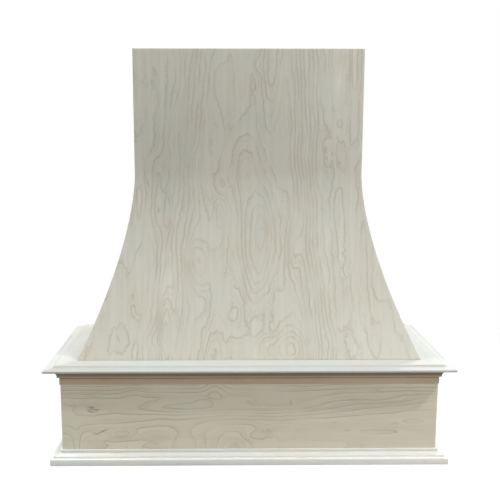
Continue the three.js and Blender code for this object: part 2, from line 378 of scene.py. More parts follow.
# Noises whose stretch is a share of the wood's own drift.
SLOW_DRIFT = Noise((1, 1, 0.6), 1.5, 3.1)
QUICK_DRIFT = Noise((6, 9, 2), 2.0, 7.7)
MINOR_LINES = Noise((2, 2, 1), 1.0, 15.0)
LINE_FADE = Noise((1.6, 2, 1), 2.0, 12.0)
WARM_PATCHES = Noise((0.5, 1.6, 1), 3.0, 20.0)
STREAKS = Noise((8, 0.7, 8), 3.0, 31.0)
# Noises with a size of their own.
FIBRES = Noise((900, 22, 900), 2.0, 41.0)
FLECKS = Noise((2600, 260, 2600), 1.0, 47.0)
RUBBING = Noise((70, 18, 70), 2.0, 53.0)
PORES = Noise((1500, 1500, 1500), 2.0, 2.0)
PLY_WAVER = Noise((60, 60, 0), 1.0, 5.0)
SHEEN = Noise((220, 220, 220), 2.0, 1.0)
SCRATCHES = Noise((2400, 2400, 2400), 2.0, 5.0)
FLOOR_GRIT = Noise((40, 40, 40), 3.0)
# The strengths of a noise that count as none and as full, and what they come to.
FULL = (0.0, 1.0)
MIDDLE_ENDS = (0.3, 0.7)
MINOR_ENDS, MINOR_LEVELS = (0.45, 0.6), (0.0, 0.5)
FADE_ENDS, FADE_LEVELS = (0.36, 0.62), (0.25, 1.0)
WARM_ENDS = (0.36, 0.66)
FIBRE_ENDS = (0.25, 0.75)
FLECK_ENDS = (0.3, 0.8)
RUBBED_ENDS, RUBBED_LEVELS = (0.35, 0.7), (0.08, 0.5)
END_PORE_ENDS = (0.35, 0.7)
# Shares of a noise's start on its three axes, and the roughness of every noise.
NOISE_LEADS = (1.0, 0.7, 1.3)
NOISE_ROUGHNESS = 0.55


class Sketch:
    """Draws nodes in a tree, from left to right."""

    def __init__(self, tree: bpy.types.NodeTree) -> None:
        """Empties the tree and starts at its left."""
        self.tree = tree
        tree.nodes.clear()
        self.column = 0

    def add(self, kind: str, **settings: object) -> bpy.types.Node:
        """A node of a kind, with its settings.

        Args:
            kind: The node's type name.
            settings: Its properties and their values.

        Returns:
            The node.
        """
        node = self.tree.nodes.new(kind)
        for name, value in settings.items():
            setattr(node, name, value)
        node.location = (self.column * 40, -(self.column % 7) * 160)
        self.column += 1
        return node

    def join(self, node: bpy.types.Node, values: dict[str | int, object]) -> bpy.types.Node:
        """Sets or links a node's inputs.

        Args:
            node: The node.
            values: Each input's name or place, and its number, colour or the socket that feeds it.

        Returns:
            The same node.
        """
        for name, value in values.items():
            if isinstance(value, Socket):
                self.tree.links.new(value, node.inputs[name])
            else:
                node.inputs[name].default_value = value
        return node

    def out(self, kind: str, values: dict[str | int, object], **settings: object) -> Socket:
        """The first output of a new node.

        Args:
            kind: The node's type name.
            values: Its inputs, as join takes them.
            settings: Its properties and their values.

        Returns:
            The socket.
        """
        return self.join(self.add(kind, **settings), values).outputs[0]

    def sum(self, operation: str, *values: object) -> Socket:
        """The result of a Math node."""
        return self.out("ShaderNodeMath", dict(enumerate(values)), operation=operation)

    def vector(self, operation: str, *values: object) -> Socket:
        """The result of a Vector Math node: a number for a length or a dot product."""
        node = self.add("ShaderNodeVectorMath", operation=operation)
        self.join(node, dict(enumerate(values)))
        return node.outputs["Value" if operation in ("LENGTH", "DOT_PRODUCT") else "Vector"]

    def scaled(self, vector: Socket, factor: object) -> Socket:
        """A vector or colour times a number."""
        values = {0: vector, "Scale": factor}
        return self.out("ShaderNodeVectorMath", values, operation="SCALE")

    def spread(self, value: Socket, low: float, high: float, to: Pair) -> Socket:
        """A number moved smoothly from one range to another.

        Args:
            value: The number.
            low: Start of its range.
            high: End of its range.
            to: The range that comes out.

        Returns:
            The socket with the result.
        """
        values = {0: value, 1: low, 2: high, 3: to[0], 4: to[1]}
        return self.out("ShaderNodeMapRange", values, interpolation_type="SMOOTHSTEP")

    def noise(self, place: Socket, noise: Noise) -> Socket:
        """The strength of a noise, from 0 to 1.

        Args:
            place: The coordinates.
            noise: The noise.

        Returns:
            The socket with the strength.
        """
        start = tuple(noise.start * lead for lead in NOISE_LEADS)
        values = {"Vector": place, "Location": start, "Scale": noise.stretch}
        moved = self.out("ShaderNodeMapping", values, vector_type="POINT")
        values = {"Vector": moved, "Scale": 1.0, "Detail": noise.detail}
        values["Roughness"] = NOISE_ROUGHNESS
        return self.out("ShaderNodeTexNoise", values, noise_dimensions="3D")

    def ramp(self, value: Socket, stops: Outline) -> Socket:
        """A number looked up on a line through given stops.

        Args:
            value: The number, from 0 to 1.
            stops: Place and result of each stop, in order.

        Returns:
            The socket with the result.
        """
        node = self.add("ShaderNodeValToRGB")
        elements = node.color_ramp.elements
        elements[0].position, elements[1].position = stops[0][0], stops[-1][0]
        for place, _ in stops[1:-1]:
            elements.new(place)
        for element, (_, level) in zip(elements, stops):
            element.color = (level, level, level, 1.0)
        return self.join(node, {0: value}).outputs[0]

    def blend(self, factor: object, a: object, b: object, kind: str = "MIX") -> Socket:
        """Two colours mixed.

        Args:
            factor: How much of the second, from 0 to 1.
            a: The first colour.
            b: The second colour.
            kind: The way of mixing.

        Returns:
            The socket with the colour.
        """
        node = self.add("ShaderNodeMix", data_type="RGBA", blend_type=kind)
        return self.join(node, {0: factor, 6: a, 7: b}).outputs[2]

    def seen(self) -> Socket:
        """1 for a ray that the camera or a reflection sees the scene by, 0 for one that lights."""
        ray = self.add("ShaderNodeLightPath").outputs
        level = self.sum("MAXIMUM", ray["Is Camera Ray"], ray["Is Glossy Ray"])
        return self.sum("MAXIMUM", level, ray["Is Transmission Ray"])

    def coat(self, height: Socket, strength: float, depth: float, values: dict) -> None:
        """Ends a material in a bumped Principled shader.

        Args:
            height: Height of the fine relief.
            strength: Strength of the relief.
            depth: Its depth in metres.
            values: The shader's other inputs.
        """
        bump = {"Strength": strength, "Distance": depth, "Height": height}
        shader = {**values, "Normal": self.out("ShaderNodeBump", bump)}
        surface = self.out("ShaderNodeBsdfPrincipled", shader)
        self.join(self.add("ShaderNodeOutputMaterial"), {"Surface": surface})


def start_material(name: str) -> tuple[bpy.types.Material, Sketch]:
    """A new material, and the sketch that draws its tree."""
    material = bpy.data.materials.new(name)
    material.use_nodes = True
    return material, Sketch(material.node_tree)


# ---------------------------------------------------------------- finishes


def paint(*levels: int) -> Colour:
    """A colour given as red, green and blue of an sRGB screen, 0 to 255, as a shader takes it."""
    shares = [level / 255 for level in levels]
    light = [c / 12.92 if c <= 0.04045 else ((c + 0.055) / 1.055) ** 2.4 for c in shares]
    return (*light, 1.0)


MARK_COLOUR = paint(102, 74, 62)
RUBBED_COLOUR = paint(232, 226, 210)
# The cut ends and the cut sides of the layers in plywood, each from darker to paler pores.
END_PLIES = (paint(176, 146, 108), paint(142, 112, 80))
LONG_PLIES = (paint(219, 199, 165), paint(204, 182, 146))
VENEER = 0.55 * MM

# Strength of a growth line against the way from one ring to the next: in a sawn board, and on
# the soft side of a line in a peeled face.
SAWN_RING = ((0, 0.9), (0.05, 0.55), (0.12, 0.22), (0.3, 0.07), (0.7, 0.0), (0.95, 0.1), (1, 0.9))
SOFT_SIDE = ((0, 0.26), (0.2, 0.12), (0.55, 0.0), (1, 0.0))
# In a peeled face: how far off the count is read again, the least steepness that it is given,
# the width of a line's back beside its front, and the place and sharpness of the minor lines.
NUDGE = 0.6 * MM
LEAST_STEEPNESS = 0.004
LINE_BACK = 0.5
MINOR_PLACE = 0.45
MINOR_SHARPNESS = -1.3
# How much of a wood's fibre contrast its fibres add, and its flecks.
FIBRE_GAIN = 0.6
FLECK_GAIN = 0.3
# The fine relief: how far lines and flecks lie below the fibres, its strength and its depth.
LINE_DROP = -0.5
FLECK_DROP = -0.35
RELIEF = 0.35
RELIEF_DEPTH = 0.12 * MM
# The gloss: how much smoother and rougher than its wood a place can be, and a line's share.
SMOOTHER = 0.06
ROUGHER = 0.08
LINE_GLOSS = -0.08
SPECULAR = 0.35
# Where one layer of plywood ends and the next begins, and how much the layers waver.
PLY_JOINT = (0.44, 0.56)
PLY_WAVE = 0.3 * MM


@dataclass(frozen=True)
class Spot:
    """A soft oval on the face, in millimetres: an eye in the figure, a streak, a patch of tone, or
    a patch of painted light and painted shade.

    Attributes:
        across: Its middle across the grain.
        along: Its middle along the grain.
        wide: How far it spreads across the grain.
        tall: How far it spreads along the grain.
        strength: What it adds at its middle, or takes away if it is below zero: growth lines in
            an eye, tone in a streak or patch.
        turn: Degrees that it leans.
    """

    across: float
    along: float
    wide: float
    tall: float
    strength: float
    turn: float = 0.0

    def over(self, across: np.ndarray, along: np.ndarray) -> np.ndarray:
        """What it adds at places on the face.

        Args:
            across: The places across the grain, in millimetres.
            along: The places along the grain.

        Returns:
            Three rows: what it adds, and how fast that rises across and along, for each
            millimetre.
        """
        c, s = math.cos(math.radians(self.turn)), math.sin(math.radians(self.turn))
        dx, dy = across - self.across, along - self.along
        u, v = (dx * c + dy * s) / self.wide, (dy * c - dx * s) / self.tall
        level = self.strength * np.exp(-(u * u + v * v))
        rises = (v * s / self.tall - u * c / self.wide, -u * s / self.wide - v * c / self.tall)
        return np.stack([level, 2 * level * rises[0], 2 * level * rises[1]])


@dataclass(frozen=True)
class Band:
    """A band of growth lines that run with the grain, in millimetres on the face.

    Attributes:
        middle: Its middle across the grain, where the grain begins.
        half: Half its width.
        rings: Growth lines that rise across it; below zero, they fall.
        lean: How far it moves across for each millimetre along.
    """

    middle: float
    half: float
    rings: float
    lean: float

    def over(self, across: np.ndarray, along: np.ndarray) -> np.ndarray:
        """What it adds at places on the face, in the three rows that a spot gives.

        Args:
            across: The places across the grain, in millimetres.
            along: The places along the grain.

        Returns:
            The rows.
        """
        width = 2 * self.half
        share = np.clip((across - self.lean * along - self.middle + self.half) / width, 0, 1)
        rise = 6 * share * (1 - share) * self.rings / width
        return np.stack([self.rings * share * share * (3 - 2 * share), rise, -self.lean * rise])


@dataclass(frozen=True)
class Wood:
    """A wood and how it was cut, as one procedural material on the pieces' grain coordinates.

    Attributes:
        name: The material's name.
        figure: How its growth lines are drawn.
        pale: Colour of the early wood.
        warm: Colour of its warmer patches.
        line: Colour of a growth line.
        line_strength: How strongly the lines show.
        ring: Spacing of the growth lines in a sawn board, in metres.
        wander: Growth lines that the slow drift of the figure crosses.
        drift: Features to a metre of that drift, across and along.
        ripple: Growth lines that the quick waviness crosses.
        line_width: Width of a growth line in a peeled face, in metres.
        streak: Contrast of the long soft streaks.
        fibre: Contrast of the fine fibres.
        ply: Thickness of a layer of plywood, or 0 in solid wood.
        sheet: Thickness of the whole sheet of plywood.
        backer: What the colour of the sheet's back face is multiplied by.
        rough: Roughness of the surface.
        bands: Bands of close lines in the figure.
        eyes: Swellings in the figure.
        marks: Small dark streaks.
        tone_and_light_patches: Patches of a paler or darker tone, some of them painted light and
            painted shade.
    """

    name: str
    figure: Figure
    pale: Colour
    warm: Colour
    line: Colour
    line_strength: float = 0.5
    ring: float = 3.2 * MM
    wander: float = 5.0
    drift: Pair = (9.0, 2.2)
    ripple: float = 0.5
    line_width: float = 1.3 * MM
    streak: float = 0.05
    fibre: float = 0.05
    ply: float = 0.0
    sheet: float = 0.0
    backer: Colour = WHITE
    rough: float = 0.6
    bands: tuple[Band, ...] = ()
    eyes: tuple[Spot, ...] = ()
    marks: tuple[Spot, ...] = ()
    tone_and_light_patches: tuple[Spot, ...] = ()

    def figure_at(self, grain: np.ndarray) -> np.ndarray:
        """The part of the growth count that the eyes and bands make, and how fast it rises.

        Args:
            grain: Grain coordinates as rows of across, along and through, in metres.

        Returns:
            Rows of the count, its rise across and its rise along, both for each metre.
        """
        across, along = grain[:, 0] / MM, grain[:, 1] / MM
        planned = np.zeros((3, len(grain)))
        for shape in (*self.eyes, *self.bands):
            planned += shape.over(across, along)
        return (planned / [[1], [MM], [MM]]).T

    def tone_and_light_at(self, grain: np.ndarray) -> np.ndarray:
        """How bright each place is beside the rest of its board, by its tone and its painted light
        and shade.
        """
        across, along = grain[:, 0] / MM, grain[:, 1] / MM
        return sum((patch.over(across, along)[0] for patch in self.tone_and_light_patches), np.ones(len(grain)))

    def spots(self, draw: Sketch, place: Socket) -> object:
        """How strongly the marks show at each place.

        Args:
            draw: The tree being drawn.
            place: Coordinates on the face.

        Returns:
            The socket with the strength.
        """
        level = 0.0
        for mark in self.marks:
            oval = {
                "Vector": place,
                "Location": (mark.across * MM, mark.along * MM, 0),
                "Rotation": (0, 0, math.radians(mark.turn)),
                "Scale": (mark.wide * MM, mark.tall * MM, 1),
            }
            moved = draw.out("ShaderNodeMapping", oval, vector_type="TEXTURE")
            square = draw.vector("DOT_PRODUCT", moved, moved)
            fall = draw.sum("EXPONENT", draw.sum("MULTIPLY", square, -1.0))
            level = draw.sum("MULTIPLY_ADD", fall, mark.strength, level)
        return level

    def wobble(self) -> bpy.types.NodeTree:
        """Draws the part of the growth count that is left to chance.

        Returns:
            A node group from grain coordinates to a count.
        """
        tree = bpy.data.node_groups.new(f"{self.name}_wobble", "ShaderNodeTree")
        tree.interface.new_socket("Grain", in_out="INPUT", socket_type="NodeSocketVector")
        tree.interface.new_socket("Count", in_out="OUTPUT", socket_type="NodeSocketFloat")
        draw = Sketch(tree)
        grain = draw.add("NodeGroupInput").outputs[0]
        slow = draw.noise(grain, SLOW_DRIFT.on(self.drift))
        quick = draw.noise(grain, QUICK_DRIFT.on(self.drift))
        level = draw.sum("MULTIPLY", slow, self.wander)
        level = draw.sum("MULTIPLY_ADD", quick, self.ripple, level)
        draw.join(draw.add("NodeGroupOutput"), {0: level})
        return tree

    def sawn_lines(self, draw: Sketch, grain: Socket) -> Socket:
        """How strongly a growth line shows in a sawn board, in rings round the tree's heart.

        Args:
            draw: The tree being drawn.
            grain: The grain coordinates.

        Returns:
            The socket with a number from 0 to 1.
        """
        flat = {"Vector": grain, "Scale": (1, 0, 1)}
        shaken = draw.out("ShaderNodeMapping", flat, vector_type="POINT")
        level = draw.sum("DIVIDE", draw.vector("LENGTH", shaken), self.ring)
        chance = draw.out("ShaderNodeGroup", {0: grain}, node_tree=self.wobble())
        return draw.ramp(draw.sum("FRACT", draw.sum("ADD", level, chance)), SAWN_RING)

    def peeled_lines(self, draw: Sketch, grain: Socket) -> Socket:
        """How strongly a growth line shows in a peeled face, where all lines are equally thin.

        The chance part of the count is also read a little way off, across and along, and the
        steepness of the whole turns counts into metres.

        Args:
            draw: The tree being drawn.
            grain: The grain coordinates.

        Returns:
            The socket with a number from 0 to 1.
        """
        tree, reads = self.wobble(), []
        for step in ((0, 0, 0), (NUDGE, 0, 0), (0, NUDGE, 0)):
            read = draw.add("ShaderNodeGroup", node_tree=tree)
            reads.append(draw.join(read, {0: draw.vector("ADD", grain, step)}).outputs[0])
        planned = draw.add("ShaderNodeAttribute", attribute_name="figure").outputs["Vector"]
        count, *rises = draw.join(draw.add("ShaderNodeSeparateXYZ"), {0: planned}).outputs
        saw = draw.sum("FRACT", draw.sum("ADD", count, reads[0]))
        whole = [
            draw.sum("MULTIPLY_ADD", rise, NUDGE, draw.sum("SUBTRACT", there, reads[0]))
            for rise, there in zip(rises, reads[1:])
        ]
        squares = [draw.sum("MULTIPLY", part, part) for part in whole]
        steep = draw.sum("SQRT", draw.sum("ADD", *squares))
        steep = draw.sum("MULTIPLY", steep, self.line_width / NUDGE)
        steep = draw.sum("MAXIMUM", steep, LEAST_STEEPNESS)
        ahead = draw.sum("DIVIDE", saw, steep)
        rest, back = draw.sum("SUBTRACT", 1.0, saw), draw.sum("MULTIPLY", steep, LINE_BACK)
        near = draw.sum("MINIMUM", ahead, draw.sum("DIVIDE", rest, back))
        main = draw.sum("EXPONENT", draw.sum("MULTIPLY", near, -1.0))
        aside = draw.sum("ABSOLUTE", draw.sum("SUBTRACT", saw, MINOR_PLACE))
        aside = draw.sum("DIVIDE", aside, steep)
        minor = draw.sum("EXPONENT", draw.sum("MULTIPLY", aside, MINOR_SHARPNESS))
        here = draw.noise(grain, MINOR_LINES.on(self.drift))
        minor = draw.sum("MULTIPLY", minor, draw.spread(here, *MINOR_ENDS, MINOR_LEVELS))
        soft = draw.ramp(saw, SOFT_SIDE)
        return draw.sum("MAXIMUM", draw.sum("MAXIMUM", main, minor), soft)

    def plies(self, draw: Sketch, grain: Socket, colour: object) -> object:
        """Shows the layers where the inside of a sheet of plywood is cut.

        Args:
            draw: The tree being drawn.
            grain: The grain coordinates.
            colour: The colour of the face.

        Returns:
            The colour of face and edges.
        """
        parts = draw.add("ShaderNodeSeparateXYZ")
        deep = draw.join(parts, {0: grain}).outputs["Z"]
        layer = draw.sum("MULTIPLY_ADD", draw.noise(grain, PLY_WAVER), PLY_WAVE, deep)
        odd = draw.sum("PINGPONG", draw.sum("DIVIDE", layer, self.ply), 1.0)
        long_way = draw.spread(odd, *PLY_JOINT, FULL)
        pores = draw.noise(grain, PORES)
        end_wood = draw.blend(draw.spread(pores, *END_PORE_ENDS, FULL), *END_PLIES)
        long_wood = draw.blend(draw.spread(pores, *MIDDLE_ENDS, FULL), *LONG_PLIES)
        edge = draw.blend(long_way, end_wood, long_wood)
        back = draw.sum("GREATER_THAN", deep, self.sheet - VENEER)
        face = draw.blend(back, colour, draw.blend(1.0, colour, self.backer, "MULTIPLY"))
        inside = draw.sum("SUBTRACT", draw.sum("GREATER_THAN", deep, VENEER), back)
        return draw.blend(inside, face, edge)

    def build(self) -> bpy.types.Material:
        """Makes the material.

        Returns:
            The material, which reads the attributes grain, figure, tone and arris of a piece.
        """
        material, draw = start_material(self.name)
        grain = draw.add("ShaderNodeAttribute", attribute_name="grain").outputs["Vector"]
        ruled = self.peeled_lines if self.figure is Figure.PEELED else self.sawn_lines
        lines = ruled(draw, grain)
        fade = draw.noise(grain, LINE_FADE.on(self.drift))
        lines = draw.sum("MULTIPLY", lines, draw.spread(fade, *FADE_ENDS, FADE_LEVELS))

        patch = draw.noise(grain, WARM_PATCHES.on(self.drift))
        tone = draw.blend(draw.spread(patch, *WARM_ENDS, FULL), self.pale, self.warm)
        tone = draw.blend(draw.sum("MULTIPLY", lines, self.line_strength), tone, self.line)
        if self.marks:
            flat = draw.vector("MULTIPLY", grain, (1, 1, 0))
            tone = draw.blend(self.spots(draw, flat), tone, MARK_COLOUR)

        streaks = draw.noise(grain, STREAKS.on(self.drift))
        fine = draw.spread(streaks, *FIBRE_ENDS, (1 - self.streak, 1 + self.streak))
        fibres = draw.noise(grain, FIBRES)
        flecks = draw.noise(grain, FLECKS)
        span = (1 - self.fibre, 1 + self.fibre * FIBRE_GAIN)
        fine = draw.sum("MULTIPLY", fine, draw.spread(fibres, *FIBRE_ENDS, span))
        span = (1 + self.fibre * FLECK_GAIN, 1 - self.fibre)
        fine = draw.sum("MULTIPLY", fine, draw.spread(flecks, *FLECK_ENDS, span))
        # The attribute tone holds each board's tone, its paler and darker places, and its painted
        # shade and painted light.
        board = draw.add("ShaderNodeAttribute", attribute_name="tone").outputs["Fac"]
        tone = draw.scaled(tone, draw.sum("MULTIPLY", fine, board))
        if self.ply:
            tone = self.plies(draw, grain, tone)

        arris = draw.add("ShaderNodeAttribute", attribute_name="arris").outputs["Fac"]
        rubbed = draw.spread(draw.noise(grain, RUBBING), *RUBBED_ENDS, RUBBED_LEVELS)
        tone = draw.blend(draw.sum("MULTIPLY", arris, rubbed), tone, RUBBED_COLOUR)

        height = draw.sum("MULTIPLY_ADD", lines, LINE_DROP, fibres)
        height = draw.sum("MULTIPLY_ADD", flecks, FLECK_DROP, height)
        span = (self.rough - SMOOTHER, self.rough + ROUGHER)
        gloss = draw.spread(fibres, *MIDDLE_ENDS, span)
        gloss = draw.sum("MULTIPLY_ADD", lines, LINE_GLOSS, gloss)
        skin = {"Base Color": tone, "Roughness": gloss, "Specular IOR Level": SPECULAR}
        draw.coat(height, RELIEF, RELIEF_DEPTH, skin)
        return material


@dataclass(frozen=True)
class ZincSteel:
    """Yellow-passivated steel of the screws."""

    name: str = "zinc_steel"
    gold: Colour = paint(206, 184, 116)
    rose: Colour = paint(196, 160, 140)
    scratch: Colour = paint(150, 140, 120)
    sheen_ends: Pair = (0.35, 0.65)
    scratch_ends: Pair = (0.55, 0.75)
    scratch_levels: Pair = (0.0, 0.5)
    gloss_levels: Pair = (0.28, 0.46)
    relief: float = 0.3
    relief_depth: float = 0.05 * MM

    def build(self) -> bpy.types.Material:
        """Makes the material.

        Returns:
            The material, on Object coordinates.
        """
        material, draw = start_material(self.name)
        place = draw.add("ShaderNodeTexCoord").outputs["Object"]
        sheen, scratches = draw.noise(place, SHEEN), draw.noise(place, SCRATCHES)
        tone = draw.blend(draw.spread(sheen, *self.sheen_ends, FULL), self.gold, self.rose)
        worn = draw.spread(scratches, *self.scratch_ends, self.scratch_levels)
        tone = draw.blend(worn, tone, self.scratch)
        gloss = draw.spread(scratches, *MIDDLE_ENDS, self.gloss_levels)
        skin = {"Base Color": tone, "Metallic": 1.0, "Roughness": gloss}
        draw.coat(scratches, self.relief, self.relief_depth, skin)
        return material


# ---------------------------------------------------------------- the woods of this hood

# Bands and spots of the panels lie across from the centre line and along down from the top,
# those of the apron across up from the floor and along from the centre line.
PANEL_WOOD = Wood(
    name="maple_panel",
    figure=Figure.PEELED,
    pale=paint(190, 190, 179),
    warm=paint(191, 189, 176),
    line=paint(134, 121, 95),
    line_strength=0.46,
    wander=3.6,
    drift=(15.0, 5.0),
    ripple=0.6,
    line_width=2.5 * MM,
    streak=0.035,
    fibre=0.03,
    ply=1.3 * MM,
    sheet=9 * MM,
    backer=(1.0, 0.9, 0.74, 1.0),
    rough=0.62,
    bands=(Band(-168, 110, 7.0, -0.03), Band(-128, 60, 2.5, -0.14), Band(138, 56, -8.5, 0.06)),
    eyes=(
        Spot(22, 490, 50, 150, 5.2),
        Spot(-12, 300, 44, 110, 1.8),
        Spot(38, 476, 13, 50, 1.2),
        Spot(34, 610, 44, 70, 1.0),
        Spot(62, -20, 24, 200, -3.2),
        Spot(22, 40, 14, 26, -1.0),
        Spot(-110, 230, 22, 120, 0.9),
        Spot(-60, 120, 40, 80, 0.6),
        Spot(-74, 430, 14, 70, -1.8),
        Spot(-73, 366, 16, 34, 1.8),
        Spot(-138, 562, 26, 62, 2.8, -3),
        Spot(-128, 680, 24, 40, -0.8),
        Spot(-222, 722, 15, 96, 3.4),
        Spot(-96, 815, 24, 80, 1.5),
        Spot(-44, 690, 22, 60, -0.7),
        Spot(-10, 790, 34, 30, 0.8),
        Spot(105, 800, 58, 56, 4.6, 8),
        Spot(60, 750, 30, 20, -0.8),
        Spot(124, 530, 18, 84, -2.4),
        Spot(-138, 285, 12, 40, 1.0),
        Spot(-245, 318, 14, 34, 1.0),
        Spot(-243, 400, 12, 60, 1.3),
        Spot(-216, 440, 12, 46, -1.3),
        Spot(-295, 420, 12, 80, -1.3),
        Spot(-291, 650, 10, 50, 1.2),
        Spot(-255, 770, 30, 30, 1.2),
        Spot(-330, 760, 30, 60, 1.6),
        Spot(-300, 800, 10, 40, -1.2),
        Spot(230, 0, 20, 130, -2.2),
        Spot(280, 60, 18, 220, -2.2),
        Spot(262, 60, 8, 90, 1.0),
        Spot(244, 420, 15, 110, -1.8),
        Spot(244, 190, 10, 14, 0.9),
        Spot(250, 640, 26, 100, -1.8),
        Spot(279, 622, 8, 34, 1.2),
        Spot(308, 600, 14, 200, 1.4),
        Spot(330, 780, 20, 60, 1.4),
        Spot(225, 790, 24, 70, 1.4),
    ),
    marks=(
        Spot(-270, 350, 1.6, 14, 0.35, -12),
        Spot(-224, 400, 1.2, 16, 0.30, 4),
        Spot(-160, 190, 2.0, 20, 0.18),
        Spot(-345, 770, 2.0, 10, 0.28, -20),
        Spot(262, 640, 1.2, 12, 0.20),
        Spot(200, 770, 1.2, 8, 0.2),
    ),
    # The first four are small paler places; the last four are painted light and painted shade:
    # darker at the upper middle and on the left, paler on the right and at the lower right.
    tone_and_light_patches=(
        Spot(241, 80, 10, 36, 0.10, 8),
        Spot(-218, 630, 26, 80, 0.08, 4),
        Spot(-286, 372, 12, 40, 0.06),
        Spot(225, 540, 50, 90, 0.06),
        Spot(-60, 190, 230, 130, -0.07),
        Spot(270, 100, 110, 260, 0.07),
        Spot(-230, 300, 74, 160, -0.09),
        Spot(340, 770, 130, 80, 0.06),
    ),
)

APRON_WOOD = Wood(
    name="maple_apron",
    figure=Figure.PEELED,
    pale=paint(215, 212, 193),
    warm=paint(218, 210, 189),
    line=paint(140, 122, 104),
    line_strength=0.56,
    wander=1.6,
    drift=(9.0, 3.0),
    ripple=0.5,
    line_width=1.4 * MM,
    streak=0.03,
    fibre=0.03,
    rough=0.6,
    bands=(Band(192, 40, 5.6, 0.0), Band(120, 40, 2.6, 0.07)),
    eyes=(
        Spot(164, -115, 8, 26, 1.3),
        Spot(150, -172, 19, 140, 2.7),
        Spot(154, 90, 30, 190, 2.4),
        Spot(140, -409, 8, 30, 1.2),
        Spot(190, -300, 14, 26, -0.9),
        Spot(215, -90, 50, 26, -1.8),
        Spot(76, -332, 11, 30, 2.4),
        Spot(50, -452, 50, 14, 1.2),
        Spot(40, -170, 60, 38, 1.8),
        Spot(30, -40, 66, 60, -2.2),
        Spot(70, 10, 16, 26, 1.0),
        Spot(45, 160, 10, 80, -0.9),
        Spot(80, 340, 9, 80, 1.2),
        Spot(108, 420, 9, 50, 0.9),
        Spot(165, 360, 12, 80, 1.0),
    ),
    marks=(
        Spot(149, -411, 3, 9, 0.6),
        Spot(143, -402, 1.6, 15, 0.55),
        Spot(138, -414, 2, 8, 0.42, 20),
        Spot(84, -383, 1.9, 17, 0.6, -24),
        Spot(78, -402, 1.5, 9, 0.42, 14),
        Spot(160, 107, 5, 2.5, 0.3),
        Spot(84, 256, 2.2, 8, 0.25),
        Spot(106, 222, 1.6, 8, 0.2),
        Spot(103, 382, 2.0, 9, 0.2),
        Spot(165, 270, 1.0, 14, 0.2),
        Spot(195, 330, 1.0, 10, 0.2),
    ),
)

COVE_WOOD = Wood(
    name="maple_cove",
    figure=Figure.SAWN,
    pale=paint(196, 179, 153),
    warm=paint(192, 172, 144),
    line=paint(150, 129, 104),
    line_strength=0.35,
    wander=1.5,
    streak=0.03,
)

BOARD_WOOD = Wood(
    name="maple_board",
    figure=Figure.SAWN,
    pale=paint(190, 194, 191),
    warm=paint(193, 192, 186),
    line=paint(160, 151, 137),
    line_strength=0.35,
    ring=4.5 * MM,
    wander=2.0,
    streak=0.03,
    # The back of the left ledge board is painted paler, as painted light, and the bevel of the
    # front one darker from its left end, as painted shade; each is in that board's own grain
    # coordinates.
    tone_and_light_patches=(Spot(425, 8256, 90, 200, 0.28), Spot(250, 7243, 14, 900, -0.12)),
)

PLYWOOD = Wood(
    name="plywood",
    figure=Figure.PEELED,
    pale=paint(214, 196, 160),
    warm=paint(206, 180, 140),
    line=paint(158, 126, 88),
    line_strength=0.5,
    wander=7.0,
    ply=1.4 * MM,
    sheet=18 * MM,
    rough=0.7,
)

POPLAR = Wood(
    name="poplar",
    figure=Figure.SAWN,
    pale=paint(206, 197, 173),
    warm=paint(193, 185, 157),
    line=paint(166, 146, 110),
    line_strength=0.45,
    ring=4.2 * MM,
    wander=2.5,
    streak=0.06,
    rough=0.68,
)


# ---------------------------------------------------------------- the bench


def give(mesh: bpy.types.Mesh, name: str, values: np.ndarray) -> None:
    """Gives each point of a mesh a number or a vector, as a named attribute."""
    kind, label = ("FLOAT_VECTOR", "vector") if values.ndim > 1 else ("FLOAT", "value")
    layer = mesh.attributes.new(name, kind, "POINT")
    layer.data.foreach_set(label, values.astype(np.float32).ravel())


